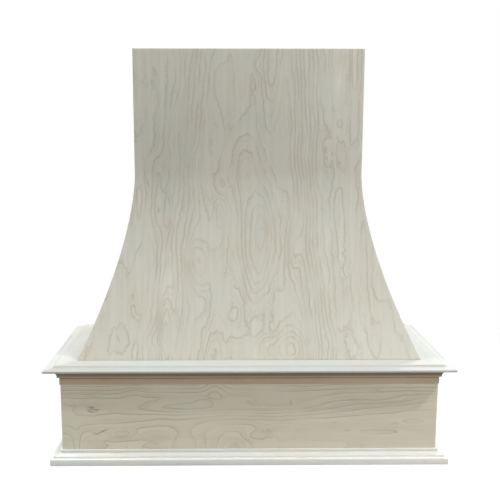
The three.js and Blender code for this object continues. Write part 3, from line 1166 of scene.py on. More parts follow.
@dataclass
class Bench:
    """Turns raw solids into finished pieces: eases them, gives them grain and seats them."""

    finishes: dict[Slot, Wood | ZincSteel]
    materials: dict[Slot, bpy.types.Material]
    made: int = 0

    def raw(self, name: str, corners: Sequence[Vector], faces: Sequence[Sequence[int]]) -> Thing:
        """A new mesh object from corners and faces, named after the node that it is for.

        Args:
            name: The node's name.
            corners: Its corners.
            faces: The places of each face's corners in that list.

        Returns:
            The object.
        """
        mesh = bpy.data.meshes.new(name)
        mesh.from_pydata([tuple(c) for c in corners], [], [list(f) for f in faces])
        thing = bpy.data.objects.new(name + PIECE_ENDING, mesh)
        bpy.context.scene.collection.objects.link(thing)
        return thing

    def loft(self, name: str, rings: Sequence[Sequence[Vector]]) -> Thing:
        """A solid through rings of points, closed at both ends.

        Args:
            name: The piece's name.
            rings: The rings, from one end to the other.

        Returns:
            The object.
        """
        count = len(rings[0])
        faces = []
        for base in range(0, (len(rings) - 1) * count, count):
            for i in range(count):
                j = (i + 1) % count
                faces.append((base + i, base + j, base + count + j, base + count + i))
        faces += [range(count), range((len(rings) - 1) * count, len(rings) * count)]
        return self.raw(name, [p for ring in rings for p in ring], faces)

    def run(self, name: str, profile: Outline, track: Track, lengths: int = 1) -> Thing:
        """A profile laid along a track.

        Args:
            name: The piece's name.
            profile: Closed outline as (out, height).
            track: The track.
            lengths: Parts that the run is divided into.

        Returns:
            The object.
        """
        rings = []
        for share in (step / lengths for step in range(lengths + 1)):
            ring = []
            for out, height in profile:
                start, end = track.ends(out)
                ring.append(track.place(start + (end - start) * share, out, height))
            rings.append(ring)
        return self.loft(name, rings)

    def prism(self, name: str, outline: Outline, bottom: float, top: float) -> Thing:
        """An outline in plan, standing from one height to another."""
        return self.loft(name, [[Vector((x, y, z)) for x, y in outline] for z in (bottom, top)])

    def carve(self, thing: Thing, cutters: Sequence[Thing]) -> None:
        """Cuts other objects out of a piece, and deletes them.

        Args:
            thing: The piece.
            cutters: The other objects.
        """
        for cutter in cutters:
            self.point_out(cutter)
            modifier = thing.modifiers.new("cut", "BOOLEAN")
            modifier.operation, modifier.solver, modifier.object = "DIFFERENCE", "EXACT", cutter
        self.settle(thing)
        for cutter in cutters:
            bpy.data.meshes.remove(cutter.data)

    def settle(self, thing: Thing) -> None:
        """Makes what a piece's modifiers give its plain mesh, and removes them.

        Args:
            thing: The piece.
        """
        graph = bpy.context.evaluated_depsgraph_get()
        made = bpy.data.meshes.new_from_object(thing.evaluated_get(graph), depsgraph=graph)
        thing.modifiers.clear()
        old, thing.data = thing.data, made
        bpy.data.meshes.remove(old)
        made.name = thing.name

    def point_out(self, thing: Thing) -> None:
        """Merges doubled points and turns all faces outwards.

        Args:
            thing: The piece.
        """
        shape = bmesh.new()
        shape.from_mesh(thing.data)
        bmesh.ops.remove_doubles(shape, verts=shape.verts, dist=SAME_POINT)
        bmesh.ops.recalc_face_normals(shape, faces=shape.faces)
        shape.to_mesh(thing.data)
        shape.free()

    def ease(self, thing: Thing, arris: float) -> None:
        """Rounds the sharp edges of a piece and marks the new faces with the attribute arris.

        Args:
            thing: The piece.
            arris: How much of each edge is taken off, in metres.
        """
        self.point_out(thing)
        shape = bmesh.new()
        shape.from_mesh(thing.data)
        worn = shape.faces.layers.float.new("arris")
        closed = [edge for edge in shape.edges if len(edge.link_faces) == 2]
        eased = bmesh.ops.bevel(
            shape,
            geom=[edge for edge in closed if edge.calc_face_angle(0.0) > EASED_ANGLE],
            offset=arris,
            offset_type="OFFSET",
            segments=ARRIS_STEPS,
            profile=ARRIS_FULLNESS,
            affect="EDGES",
            clamp_overlap=True,
        )
        for face in eased["faces"]:
            face[worn] = 1.0
        bmesh.ops.recalc_face_normals(shape, faces=shape.faces)
        for face in shape.faces:
            face.smooth = True
        for edge in shape.edges:
            edge.smooth = len(edge.link_faces) != 2 or edge.calc_face_angle(0.0) < CRISP_ANGLE
        shape.to_mesh(thing.data)
        shape.free()

    def finish(
        self,
        thing: Thing,
        slot: Slot,
        grain: Grain | None,
        nodes: Sequence[str] = (),
        arris: float = ARRIS,
        tone: float = 1.0,
        shade: Callable[[np.ndarray], np.ndarray] | None = None,
    ) -> None:
        """Finishes a piece and seats it in the frame.

        Args:
            thing: The piece.
            slot: Its material slot.
            grain: Its fibres, or None for steel.
            nodes: The part's nodes that it stands for; by default the one of its own name, if
                there is one.
            arris: How much of each sharp edge is taken off; 0 leaves them.
            tone: How bright this board is beside the others of its finish.
            shade: Gives the painted shade and painted light at each point, beside the rest of its
                board.
        """
        if arris:
            self.ease(thing, arris)
        mesh = thing.data
        mesh.materials.clear()
        mesh.materials.append(self.materials[slot])
        if grain is not None:
            points = np.zeros(len(mesh.vertices) * 3, np.float32)
            mesh.vertices.foreach_get("co", points)
            points = points.reshape(-1, 3).astype(float)
            values = grain.of(points).astype(np.float32)
            wood = self.finishes[slot]
            give(mesh, "grain", values)
            give(mesh, "figure", wood.figure_at(values))
            # The attribute tone also carries painted light and painted shade, from the wood's spots
            # and the zones.
            give(mesh, "tone", tone * wood.tone_and_light_at(values) * (shade(points) if shade else 1.0))
        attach(thing, BODY)
        same = thing.name.removesuffix(PIECE_ENDING)
        own = nodes or ([same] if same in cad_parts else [])
        if own:
            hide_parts(*own)
        self.made += 1
        stood_for = ", ".join(own) or "no node"
        log.info("%s: %d faces, stands for %s", thing.name, len(mesh.polygons), stood_for)


def curve(a: Pair, bend: Pair, b: Pair, steps: int = 8) -> list[Pair]:
    """Points along a quadratic curve, without its first.

    Args:
        a: Where it starts.
        bend: Its control point.
        b: Where it ends.
        steps: Its parts.

    Returns:
        The points.
    """
    points = []
    for t in ((i + 1) / steps for i in range(steps)):
        shares = ((1 - t) ** 2, 2 * t * (1 - t), t * t)
        x, y = (shares[0] * a[k] + shares[1] * bend[k] + shares[2] * b[k] for k in (0, 1))
        points.append((x, y))
    return points


# ---------------------------------------------------------------- Geometry Nodes


class Tree:
    """A Geometry Nodes tree with named inputs, used as a modifier.

    Attributes:
        floats: Names of the inputs that take a number.
        others: Names of the further inputs, and what each takes.
    """

    floats: tuple[str, ...]
    others: dict[str, str]

    def __init__(self, name: str) -> None:
        """Starts the tree, with its inputs.

        Args:
            name: The tree's name.
        """
        self.group = bpy.data.node_groups.new(name, "GeometryNodeTree")
        self.draw = Sketch(self.group)
        face = self.group.interface
        kinds = {label: "Float" for label in self.floats} | self.others | {"Material": "Material"}
        face.new_socket("Geometry", in_out="INPUT", socket_type="NodeSocketGeometry")
        self.keys = [
            face.new_socket(label, in_out="INPUT", socket_type=f"NodeSocket{kind}").identifier
            for label, kind in kinds.items()
        ]
        face.new_socket("Geometry", in_out="OUTPUT", socket_type="NodeSocketGeometry")
        self.given = self.draw.add("NodeGroupInput")

    def value(self, label: str) -> Socket:
        """The socket of a named input."""
        return self.given.outputs[label]

    def named(self, label: str) -> Socket:
        """The vector that a named attribute holds at each point."""
        kind = "GeometryNodeInputNamedAttribute"
        return self.draw.out(kind, {"Name": label}, data_type="FLOAT_VECTOR")

    def end(self, geometry: Socket) -> None:
        """Ends the tree in Realize Instances and Set Material.

        Args:
            geometry: What the tree has made.
        """
        real = self.draw.out("GeometryNodeRealizeInstances", {"Geometry": geometry})
        values = {"Geometry": real, "Material": self.value("Material")}
        dressed = self.draw.out("GeometryNodeSetMaterial", values)
        self.draw.join(self.draw.add("NodeGroupOutput"), {"Geometry": dressed})

    def apply(self, bench: Bench, thing: Thing, slot: Slot, values: Sequence[object]) -> None:
        """Runs the tree on an object and keeps the result as its plain mesh.

        Args:
            bench: The bench.
            thing: The object.
            slot: Its material slot.
            values: What the other inputs get, in their order.
        """
        modifier = thing.modifiers.new(self.group.name, "NODES")
        modifier.node_group = self.group
        for key, value in zip(self.keys, (*values, bench.materials[slot]), strict=True):
            modifier[key] = value
        bench.settle(thing)


class BentBand(Tree):
    """A band that follows the sweep between two insets: the panels, and the ribs behind them."""

    floats = ("Offset", "Start", "End", "Start Mitre", "End Mitre", "Bottom", "Top")
    floats += ("Outer Inset", "Inner Inset", "Knee", "Sweep Height", "Sweep Run", "Sweep Power")
    others = {"Columns": "Int", "Rows": "Int", "Along": "Vector", "Outward": "Vector"}
    weld = 1e-5

    def __init__(self) -> None:
        """Draws the tree."""
        super().__init__("bent_band")
        draw, value = self.draw, self.value
        size = {"Size X": 1.0, "Size Y": 1.0}
        size |= {"Vertices X": value("Columns"), "Vertices Y": value("Rows")}
        sheet = draw.out("GeometryNodeMeshGrid", size)
        middle = draw.add("GeometryNodeInputPosition").outputs[0]
        where = draw.vector("ADD", middle, (0.5, 0.5, 0.0))
        keep = draw.add(
            "GeometryNodeStoreNamedAttribute", data_type="FLOAT_VECTOR", domain="POINT"
        )
        flat = draw.join(keep, {"Geometry": sheet, "Name": "share", "Value": where}).outputs[0]
        thick = draw.add("GeometryNodeExtrudeMesh", mode="FACES")
        draw.join(thick, {"Mesh": flat, "Offset Scale": 0.0, "Individual": False})
        top = thick.outputs["Top"]
        outer = self.lay(thick.outputs["Mesh"], value("Outer Inset"), top)
        skin = self.lay(outer, value("Inner Inset"), draw.sum("SUBTRACT", 1.0, top))
        lining = draw.out("GeometryNodeFlipFaces", {"Mesh": flat})
        lining = self.lay(lining, value("Inner Inset"), True)
        both = draw.add("GeometryNodeJoinGeometry")
        draw.join(both, {0: skin})
        draw.join(both, {0: lining})
        welded = {"Geometry": both.outputs[0], "Distance": self.weld}
        self.end(draw.out("GeometryNodeMergeByDistance", welded))

    def lay(self, geometry: Socket, inset: Socket, chosen: object) -> Socket:
        """Lays the chosen points on the line inside the face at an inset.

        Args:
            geometry: The sheet.
            inset: Distance inside the face.
            chosen: Which points move.

        Returns:
            The geometry after the move.
        """
        draw, value = self.draw, self.value
        share = draw.join(draw.add("ShaderNodeSeparateXYZ"), {0: self.named("share")}).outputs
        rise = draw.sum("SUBTRACT", value("Top"), value("Bottom"))
        level = draw.sum("MULTIPLY_ADD", share["Y"], rise, value("Bottom"))
        drop = draw.sum("MAXIMUM", draw.sum("SUBTRACT", value("Knee"), level), 0.0)
        part = draw.sum("DIVIDE", drop, value("Sweep Height"))
        power, run = value("Sweep Power"), value("Sweep Run")
        face = draw.sum("MULTIPLY", draw.sum("POWER", part, power), run)
        steep = draw.sum("POWER", part, draw.sum("SUBTRACT", power, 1.0))
        grade = draw.sum("DIVIDE", draw.sum("MULTIPLY", power, run), value("Sweep Height"))
        slope = draw.sum("MULTIPLY", steep, grade)
        stretch = draw.sum("SQRT", draw.sum("MULTIPLY_ADD", slope, slope, 1.0))
        out = draw.sum("SUBTRACT", face, draw.sum("MULTIPLY", inset, stretch))
        gain = draw.sum("MULTIPLY", value("Start Mitre"), out)
        start = draw.sum("SUBTRACT", value("Start"), gain)
        end = draw.sum("MULTIPLY_ADD", value("End Mitre"), out, value("End"))
        length = draw.sum("SUBTRACT", end, start)
        place = draw.sum("MULTIPLY_ADD", share["X"], length, start)
        up = draw.out("ShaderNodeCombineXYZ", {"Z": level})
        along = draw.scaled(value("Along"), place)
        outward = draw.scaled(value("Outward"), draw.sum("ADD", value("Offset"), out))
        spot = draw.vector("ADD", draw.vector("ADD", along, outward), up)
        moved = {"Geometry": geometry, "Selection": chosen, "Position": spot}
        return draw.out("GeometryNodeSetPosition", moved)

    def make(
        self,
        bench: Bench,
        name: str,
        track: Track,
        levels: Pair,
        insets: Pair,
        slot: Slot,
        grid: tuple[int, int],
    ) -> Thing:
        """One band on a track.

        Args:
            bench: The bench.
            name: The piece's name.
            track: The track.
            levels: Lowest and highest level.
            insets: Distances of its two faces inside the sweep's outer face.
            slot: Its material slot.
            grid: Points along the track, and up the sweep.

        Returns:
            The band as a plain mesh.
        """
        thing = bench.raw(name, [], [])
        ends = (track.offset, track.start, track.end, track.start_mitre, track.end_mitre)
        rule = (SWEEP.knee, SWEEP.height, SWEEP.run, SWEEP.power)
        ways = (tuple(track.side.along), tuple(track.side.outward))
        self.apply(bench, thing, slot, (*ends, *levels, *insets, *rule, *grid, *ways))
        for layer in ("share", "UVMap"):
            if layer in thing.data.attributes:
                thing.data.attributes.remove(thing.data.attributes[layer])
        return thing


@dataclass(frozen=True)
class Screw:
    """Where a countersunk screw sits: the middle of its head, and the way that it faces."""

    place: tuple[float, float, float]
    facing: tuple[float, float, float]


class ScrewSet(Tree):
    """Countersunk wood screws with a square drive, one on each point."""

    floats = ("Head Radius", "Head Depth", "Shank Radius", "Length", "Tip Length", "Drive Size")
    others = {"Sides": "Int", "Seed": "Int"}
    head_radius = 4.2 * MM
    head_depth = 2.8 * MM
    shank_radius = 2.1 * MM
    point_radius = 0.15 * MM
    tip = 4 * MM
    drive = 2.7 * MM
    drive_depth = 1.5
    sides = 20
    seed = 11

    def __init__(self) -> None:
        """Draws the tree."""
        super().__init__("screw_set")
        draw, value = self.draw, self.value
        neck = draw.sum("SUBTRACT", value("Length"), value("Tip Length"))
        depths = [0.0, value("Head Depth"), neck, value("Length")]
        shank = value("Shank Radius")
        radii = [value("Head Radius"), shank, shank, self.point_radius]
        line = draw.out("GeometryNodeMeshLine", {"Count": len(depths)})
        down = draw.sum("MULTIPLY", self.pick(depths), -1.0)
        place = draw.out("ShaderNodeCombineXYZ", {"Z": down})
        laid = draw.out("GeometryNodeSetPosition", {"Geometry": line, "Position": place})
        core = draw.out("GeometryNodeMeshToCurve", {"Mesh": laid})
        sized = {"Curve": core, "Radius": self.pick(radii)}
        sized = draw.out("GeometryNodeSetCurveRadius", sized)
        circle = {"Resolution": value("Sides"), "Radius": 1.0}
        circle = draw.out("GeometryNodeCurvePrimitiveCircle", circle)
        radius = draw.add("GeometryNodeInputRadius").outputs[0]
        swept = {"Curve": sized, "Profile Curve": circle, "Scale": radius, "Fill Caps": True}
        body = draw.out("GeometryNodeCurveToMesh", swept)
        size = {axis: value("Drive Size") for axis in "XY"}
        size["Z"] = draw.sum("MULTIPLY", value("Head Depth"), self.drive_depth)
        key = draw.out("GeometryNodeMeshCube", {"Size": draw.out("ShaderNodeCombineXYZ", size)})
        cut = draw.add("GeometryNodeMeshBoolean", operation="DIFFERENCE", solver="EXACT")
        screw = draw.join(cut, {"Mesh 1": body, "Mesh 2": key}).outputs[0]
        facing = {"Vector": self.named("facing")}
        aim = draw.out("FunctionNodeAlignRotationToVector", facing, axis="Z")
        points = {"Points": value("Geometry"), "Instance": screw, "Rotation": aim}
        put = draw.out("GeometryNodeInstanceOnPoints", points)
        chance = draw.add("FunctionNodeRandomValue", data_type="FLOAT")
        draw.join(chance, {"Min": 0.0, "Max": math.tau, "Seed": value("Seed")})
        spin = draw.out("ShaderNodeCombineXYZ", {"Z": chance.outputs["Value"]})
        turn = {"Instances": put, "Rotation": spin, "Local Space": True}
        self.end(draw.out("GeometryNodeRotateInstances", turn))

    def pick(self, values: Sequence[object]) -> Socket:
        """The value for each point of a line, by its place in the line.

        Args:
            values: The values, in order.

        Returns:
            The socket with the value.
        """
        node = self.draw.add("GeometryNodeIndexSwitch", data_type="FLOAT")
        while len(node.index_switch_items) < len(values):
            node.index_switch_items.new()
        index = self.draw.add("GeometryNodeInputIndex").outputs[0]
        return self.draw.join(node, dict(enumerate([index, *values]))).outputs[0]

    def make(
        self,
        bench: Bench,
        name: str,
        screws: Sequence[Screw],
        length: float,
        nodes: Sequence[str] = (),
    ) -> None:
        """Makes one set of screws and finishes it.

        Args:
            bench: The bench.
            name: The piece's name.
            screws: Where they sit.
            length: How long each is.
            nodes: The part's nodes that they stand for.
        """
        thing = bench.raw(name, [Vector(s.place) for s in screws], [])
        give(thing.data, "facing", np.array([s.facing for s in screws]))
        sizes = (self.head_radius, self.head_depth, self.shank_radius, length, self.tip, self.drive)
        self.apply(bench, thing, Slot.STEEL, (*sizes, self.sides, self.seed))
        bench.point_out(thing)
        bench.finish(thing, Slot.STEEL, None, nodes, arris=0)


# ---------------------------------------------------------------- sub-assemblies

# From one board to the next: how far the heart of its tree turns, and how far it lies along.
HEART_TURN = 2.4
HEART_STEP = 0.37
# How far it swings, and how deep it lies and rises and falls, in metres.
HEART_SWING = 0.05
HEART_DEPTH = 0.07
HEART_RISE = 0.03
# From one upright piece to the next: how far the heart of its tree lies along.
POST_STEP = 0.3


def along_grain(side: Side, number: int) -> BoardGrain:
    """The grain of a board that runs along one side, with its heart somewhere of its own.

    Args:
        side: The side.
        number: A number that makes this board differ from the others.

    Returns:
        The grain.
    """
    turn = number * HEART_TURN
    depth = HEART_DEPTH + HEART_RISE * math.cos(turn)
    heart = (HEART_SWING * math.sin(turn), HEART_STEP * number, depth)
    return BoardGrain(side.outward, side.along, heart)


def lay(
    bench: Bench,
    name: str,
    profile: Outline,
    track: Track,
    slot: Slot = Slot.POPLAR,
    zones: Sequence[PaintedLightZone] = (),
    arris: float = ARRIS,
    tone: float = 1.0,
) -> None:
    """Makes a board, rail or moulding that runs along a track, with its grain along it.

    Args:
        bench: The bench.
        name: What it is, without its side.
        profile: Closed outline as (out, height).
        track: The track.
        slot: Its material slot.
        zones: Strips of it painted darker as shade or paler as light.
        arris: How much of each sharp edge is taken off.
        tone: How bright it is beside the others of its finish.
    """
    thing = bench.run(f"{name}_{track.side.value}", profile, track)
    grain = along_grain(track.side, bench.made)
    bench.finish(thing, slot, grain, (), arris, tone, lambda points: track.tone(points, zones))


def upright_grain(heart: tuple[float, float, float]) -> BoardGrain:
    """The grain of a post, with its heart at a given place."""
    return BoardGrain(Side.FRONT.along, Vector(UP), heart)


@dataclass
class SweepPanels:
    """The three bent panels, mitred at the corners."""

    thickness: float = 9 * MM
    cell: float = 6 * MM
    shifts: tuple[float, ...] = (0.0, 0.9, -0.8)

    def build(self, bench: Bench, band: BentBand) -> None:
        """Makes the panels.

        Args:
            bench: The bench.
            band: The tree that bends them.
        """
        for side, shift in zip(Side, self.shifts):
            track = CHIMNEY.track(side)
            levels, insets = (SWEEP_FOOT, HOOD_HEIGHT), (0.0, self.thickness)
            start, end = track.ends(float(SWEEP.out(SWEEP_FOOT)))
            spans = (end - start, levels[1] - levels[0])
            grid = tuple(round(span / self.cell) for span in spans)
            name = f"sweep_panel_{side.value}"
            panel = band.make(bench, name, track, levels, insets, Slot.PANEL, grid)
            bench.finish(panel, Slot.PANEL, BentGrain(track, shift))


@dataclass
class SweepFrame:
    """The plywood ribs and the rails and posts that the panels are glued to."""

    inset: float = 9.3 * MM
    rib_width: float = 55 * MM
    rib_thickness: float = 18 * MM
    rib_spacing: float = 200 * MM
    rib_grid: tuple[int, int] = (2, 65)
    rib_arris: float = 0.3 * MM
    rail: float = 18 * MM
    rail_rows: int = 6
    waist_rail: float = 19 * MM
    waist_height: float = 38 * MM
    waist_bottom: float = 750 * MM
    post_leg: float = 40 * MM
    post_rows: int = 48
    post_heart: tuple[float, float, float] = (0.05, 0.6, 0.08)
    hanging_rail_height: float = 89 * MM
    foot_back_height: float = 64 * MM

    @property
    def foot_top(self) -> float:
        """Top of the foot rails."""
        return SWEEP_FOOT + self.rail

    @property
    def rib_bottom(self) -> float:
        """Foot of the ribs."""
        return self.foot_top + GLUE_LINE

    @property
    def rib_top(self) -> float:
        """Head of the ribs."""
        return HOOD_HEIGHT - self.rail - GLUE_LINE

    @property
    def rear_rib_y(self) -> float:
        """Middle of the rear ribs."""
        return FRAME_REAR - self.rib_thickness / 2

    def ring_rail(self, bench: Bench, name: str, side: Side, bottom: float, top: float) -> None:
        """One rail of a flat ring behind the panels.

        Args:
            bench: The bench.
            name: The ring's name.
            side: The side that the rail runs along.
            bottom: Its underside.
            top: Its top.
        """
        outer = SWEEP.line(self.inset, bottom, top, self.rail_rows)
        inner = SWEEP.line(self.inset + self.rib_width, bottom, top, self.rail_rows)
        edge = min(out for out, _ in inner)
        profile = [*outer, (edge, bottom), (edge, top)]
        lay(bench, name, profile, CHIMNEY.track(side, FRAME_REAR))

    def rib(
        self, bench: Bench, band: BentBand, name: str, side: Side, middle: float, notched: bool
    ) -> None:
        """One former behind a panel.

        Args:
            bench: The bench.
            band: The tree that bends it.
            name: The piece's name.
            side: The side whose panel it backs.
            middle: Its middle along that side's track.
            notched: True if the waist rail is let into it.
        """
        half, offset = self.rib_thickness / 2, CHIMNEY.track(side).offset
        track = Track(side, offset, middle - half, middle + half)
        insets = (self.inset, self.inset + self.rib_width)
        levels = (self.rib_bottom, self.rib_top)
        rib = band.make(bench, name, track, levels, insets, Slot.PLYWOOD, self.rib_grid)
        if notched:
            low = self.waist_bottom - GLUE_LINE
            high = self.waist_bottom + self.waist_height + GLUE_LINE
            deep = -self.inset - self.waist_rail - GLUE_LINE
            cut = [(0.0, low), (0.0, high), (deep, high), (deep, low)]
            wide = Track(side, offset, middle - 2 * half, middle + 2 * half)
            bench.carve(rib, [bench.run("notch", cut, wide)])
        grain = PlyGrain(track, middle, half, bench.made * HEART_STEP)
        bench.finish(rib, Slot.PLYWOOD, grain, arris=self.rib_arris)

    def post(self, bench: Bench, side: Side) -> None:
        """The three-cornered post behind one mitred corner.

        Args:
            bench: The bench.
            side: The side that the corner belongs to, left or right.
        """
        hand, leg = (1 if side is Side.LEFT else -1), self.post_leg
        rings = []
        for out, z in SWEEP.line(self.inset, self.rib_bottom, self.rib_top, self.post_rows):
            x, y = -hand * (CHIMNEY.half_width + out), WALL - CHIMNEY.depth - out
            corners = ((x, y), (x + hand * leg, y), (x, y + leg))
            rings.append([Vector((*corner, z)) for corner in corners])
        post = bench.loft(f"corner_post_{side.value}", rings)
        across, along, deep = self.post_heart
        bench.finish(post, Slot.POPLAR, upright_grain((across * hand, along * hand, deep)))

    def waist(self, bench: Bench, side: Side) -> None:
        """The rail let into the ribs at the start of the bend, on one side.

        Args:
            bench: The bench.
            side: The side.
        """
        bottom, top = self.waist_bottom, self.waist_bottom + self.waist_height
        outer, inner = -self.inset, -self.inset - self.waist_rail
        profile = [(outer, bottom), (outer, top), (inner, top), (inner, bottom)]
        short = self.inset + self.post_leg + GLUE_LINE
        rear = self.rear_rib_y - self.rib_thickness / 2 - GLUE_LINE
        reach = CHIMNEY.depth - WALL
        ends = {
            Side.FRONT: (short - CHIMNEY.half_width, CHIMNEY.half_width - short),
            Side.LEFT: (-rear, reach - short),
            Side.RIGHT: (short - reach, rear),
        }[side]
        lay(bench, "waist_rail", profile, Track(side, CHIMNEY.track(side).offset, *ends))

    def build(self, bench: Bench, band: BentBand) -> None:
        """Makes the frame.

        Args:
            bench: The bench.
            band: The tree that bends the ribs.
        """
        for side in Side:
            self.ring_rail(bench, "top_rail", side, HOOD_HEIGHT - self.rail, HOOD_HEIGHT)
            self.ring_rail(bench, "sweep_foot_rail", side, SWEEP_FOOT, self.foot_top)
            self.waist(bench, side)
        for label, place in (("left", -1), ("centre", 0), ("right", 1)):
            x = place * self.rib_spacing
            self.rib(bench, band, f"rib_front_{label}", Side.FRONT, x, True)
        middle_y = (self.rear_rib_y + WALL - CHIMNEY.depth) / 2
        for side, hand in ((Side.LEFT, -1), (Side.RIGHT, 1)):
            self.rib(bench, band, f"rib_{side.value}_middle", side, hand * middle_y, True)
            self.rib(bench, band, f"rib_{side.value}_rear", side, hand * self.rear_rib_y, False)
            self.post(bench, side)


@dataclass
class Ledge:
    """The mitred ledge boards and the cove moulding under them."""

    overhang: float = 38 * MM
    inner_reach: float = 130 * MM
    edge_width: float = 27 * MM
    edge_drop: float = 6.4 * MM
    edge_start: float = 3.2 * MM
    # The steep start of the moulded edge is painted darker, as painted shade.
    edge_painted_shade: float = 0.86
    cove_height: float = 39 * MM
    cove_depth: float = 24 * MM
    cove_arris: float = 0.25 * MM
    band_out: float = 2 * MM
    band_height: float = 15 * MM
    quirk_depth: float = 0.7 * MM
    quirk_height: float = 4.2 * MM
    # The quirk is painted dark, and the hollow darker towards its top, as painted shade.
    quirk_reach: float = 0.3 * MM
    quirk_painted_shade: float = 0.6
    fillet_out: float = 7 * MM
    fillet_height: float = 1.5 * MM
    cove_edge: float = 3 * MM
    hollow_steps: int = 14
    hollow_painted_shades: tuple[Pair, ...] = ((1.2 * MM, 0.78), (4.0 * MM, 0.62))
    board_tones: tuple[float, ...] = (0.98, 1.1, 1.05)

    def board_profile(self) -> list[Pair]:
        """Outline of a ledge board: a rounded nose, and a hollow behind it.

        Returns:
            Points as (out, height).
        """
        nose, low = self.overhang, LEDGE_TOP - self.edge_drop
        roll = (low - LEDGE_BOTTOM) / 2
        flat_end = nose - self.edge_width
        points = [(-self.inner_reach, LEDGE_BOTTOM), (nose - roll, LEDGE_BOTTOM)]
        points += curve(points[-1], (nose, LEDGE_BOTTOM), (nose, LEDGE_BOTTOM + roll))
        points += curve(points[-1], (nose, low), (nose - roll, low))
        bend, end = (flat_end + self.edge_start, low), (flat_end, LEDGE_TOP)
        points += curve(points[-1], bend, end, self.hollow_steps)
        return [*points, (-self.inner_reach, LEDGE_TOP)]

    def cove_profile(self) -> list[Pair]:
        """Outline of the cove: a flat band, a quirk, a fillet that overhangs it, a hollow.

        Returns:
            Points as (out, height).
        """
        top, bottom = APRON_TOP, LEDGE_BOTTOM - self.cove_height
        band_top, quirk = bottom + self.band_height, self.band_out - self.quirk_depth
        fillet, edge = band_top + self.quirk_height, top - self.cove_edge
        points = [(GLUE_LINE, bottom), (self.band_out, bottom), (self.band_out, band_top)]
        points += [(quirk, band_top), (quirk, fillet), (self.fillet_out, fillet)]
        points.append((self.fillet_out, fillet + self.fillet_height))
        bend, end = (self.fillet_out, edge), (self.cove_depth, edge)
        points += curve(points[-1], bend, end, self.hollow_steps)
        return [*points, (self.cove_depth, top), (GLUE_LINE, top)]

    def board_painted_shade(self) -> list[PaintedLightZone]:
        """The steep start of the moulded edge, painted darker as shade."""
        start = self.overhang - self.edge_width
        height = (LEDGE_TOP - self.edge_drop, LEDGE_TOP - ZONE_EDGE)
        return [PaintedLightZone((start - ZONE_REACH, start + 2 * self.edge_start), height, self.edge_painted_shade)]

    def cove_painted_shade(self) -> list[PaintedLightZone]:
        """The hollow, painted darker towards its top as shade, and the quirk, painted dark as
        shade.

        Returns:
            The zones.
        """
        band_top = LEDGE_BOTTOM - self.cove_height + self.band_height
        quirk = self.band_out - self.quirk_depth
        fillet = band_top + self.quirk_height + self.fillet_height
        hollow = (self.fillet_out - ZONE_REACH, self.cove_depth + ZONE_REACH)
        zones = [
            PaintedLightZone(hollow, (fillet + rise, LEDGE_BOTTOM), tone) for rise, tone in self.hollow_painted_shades
        ]
        groove = (band_top - ZONE_EDGE, band_top + self.quirk_height + ZONE_EDGE)
        return [*zones, PaintedLightZone((GLUE_LINE, quirk + self.quirk_reach), groove, self.quirk_painted_shade)]

    def build(self, bench: Bench) -> None:
        """Makes the boards and mouldings.

        Args:
            bench: The bench.
        """
        board, cove = self.board_profile(), self.cove_profile()
        # edge and hollow are the zones of painted shade on the boards and on the cove.
        edge, hollow, arris = self.board_painted_shade(), self.cove_painted_shade(), self.cove_arris
        for side, tone in zip(Side, self.board_tones):
            track = APRON.track(side)
            lay(bench, "ledge", board, track, Slot.BOARD, edge, tone=tone)
            lay(bench, "cove_moulding", cove, track, Slot.COVE, hollow, arris)


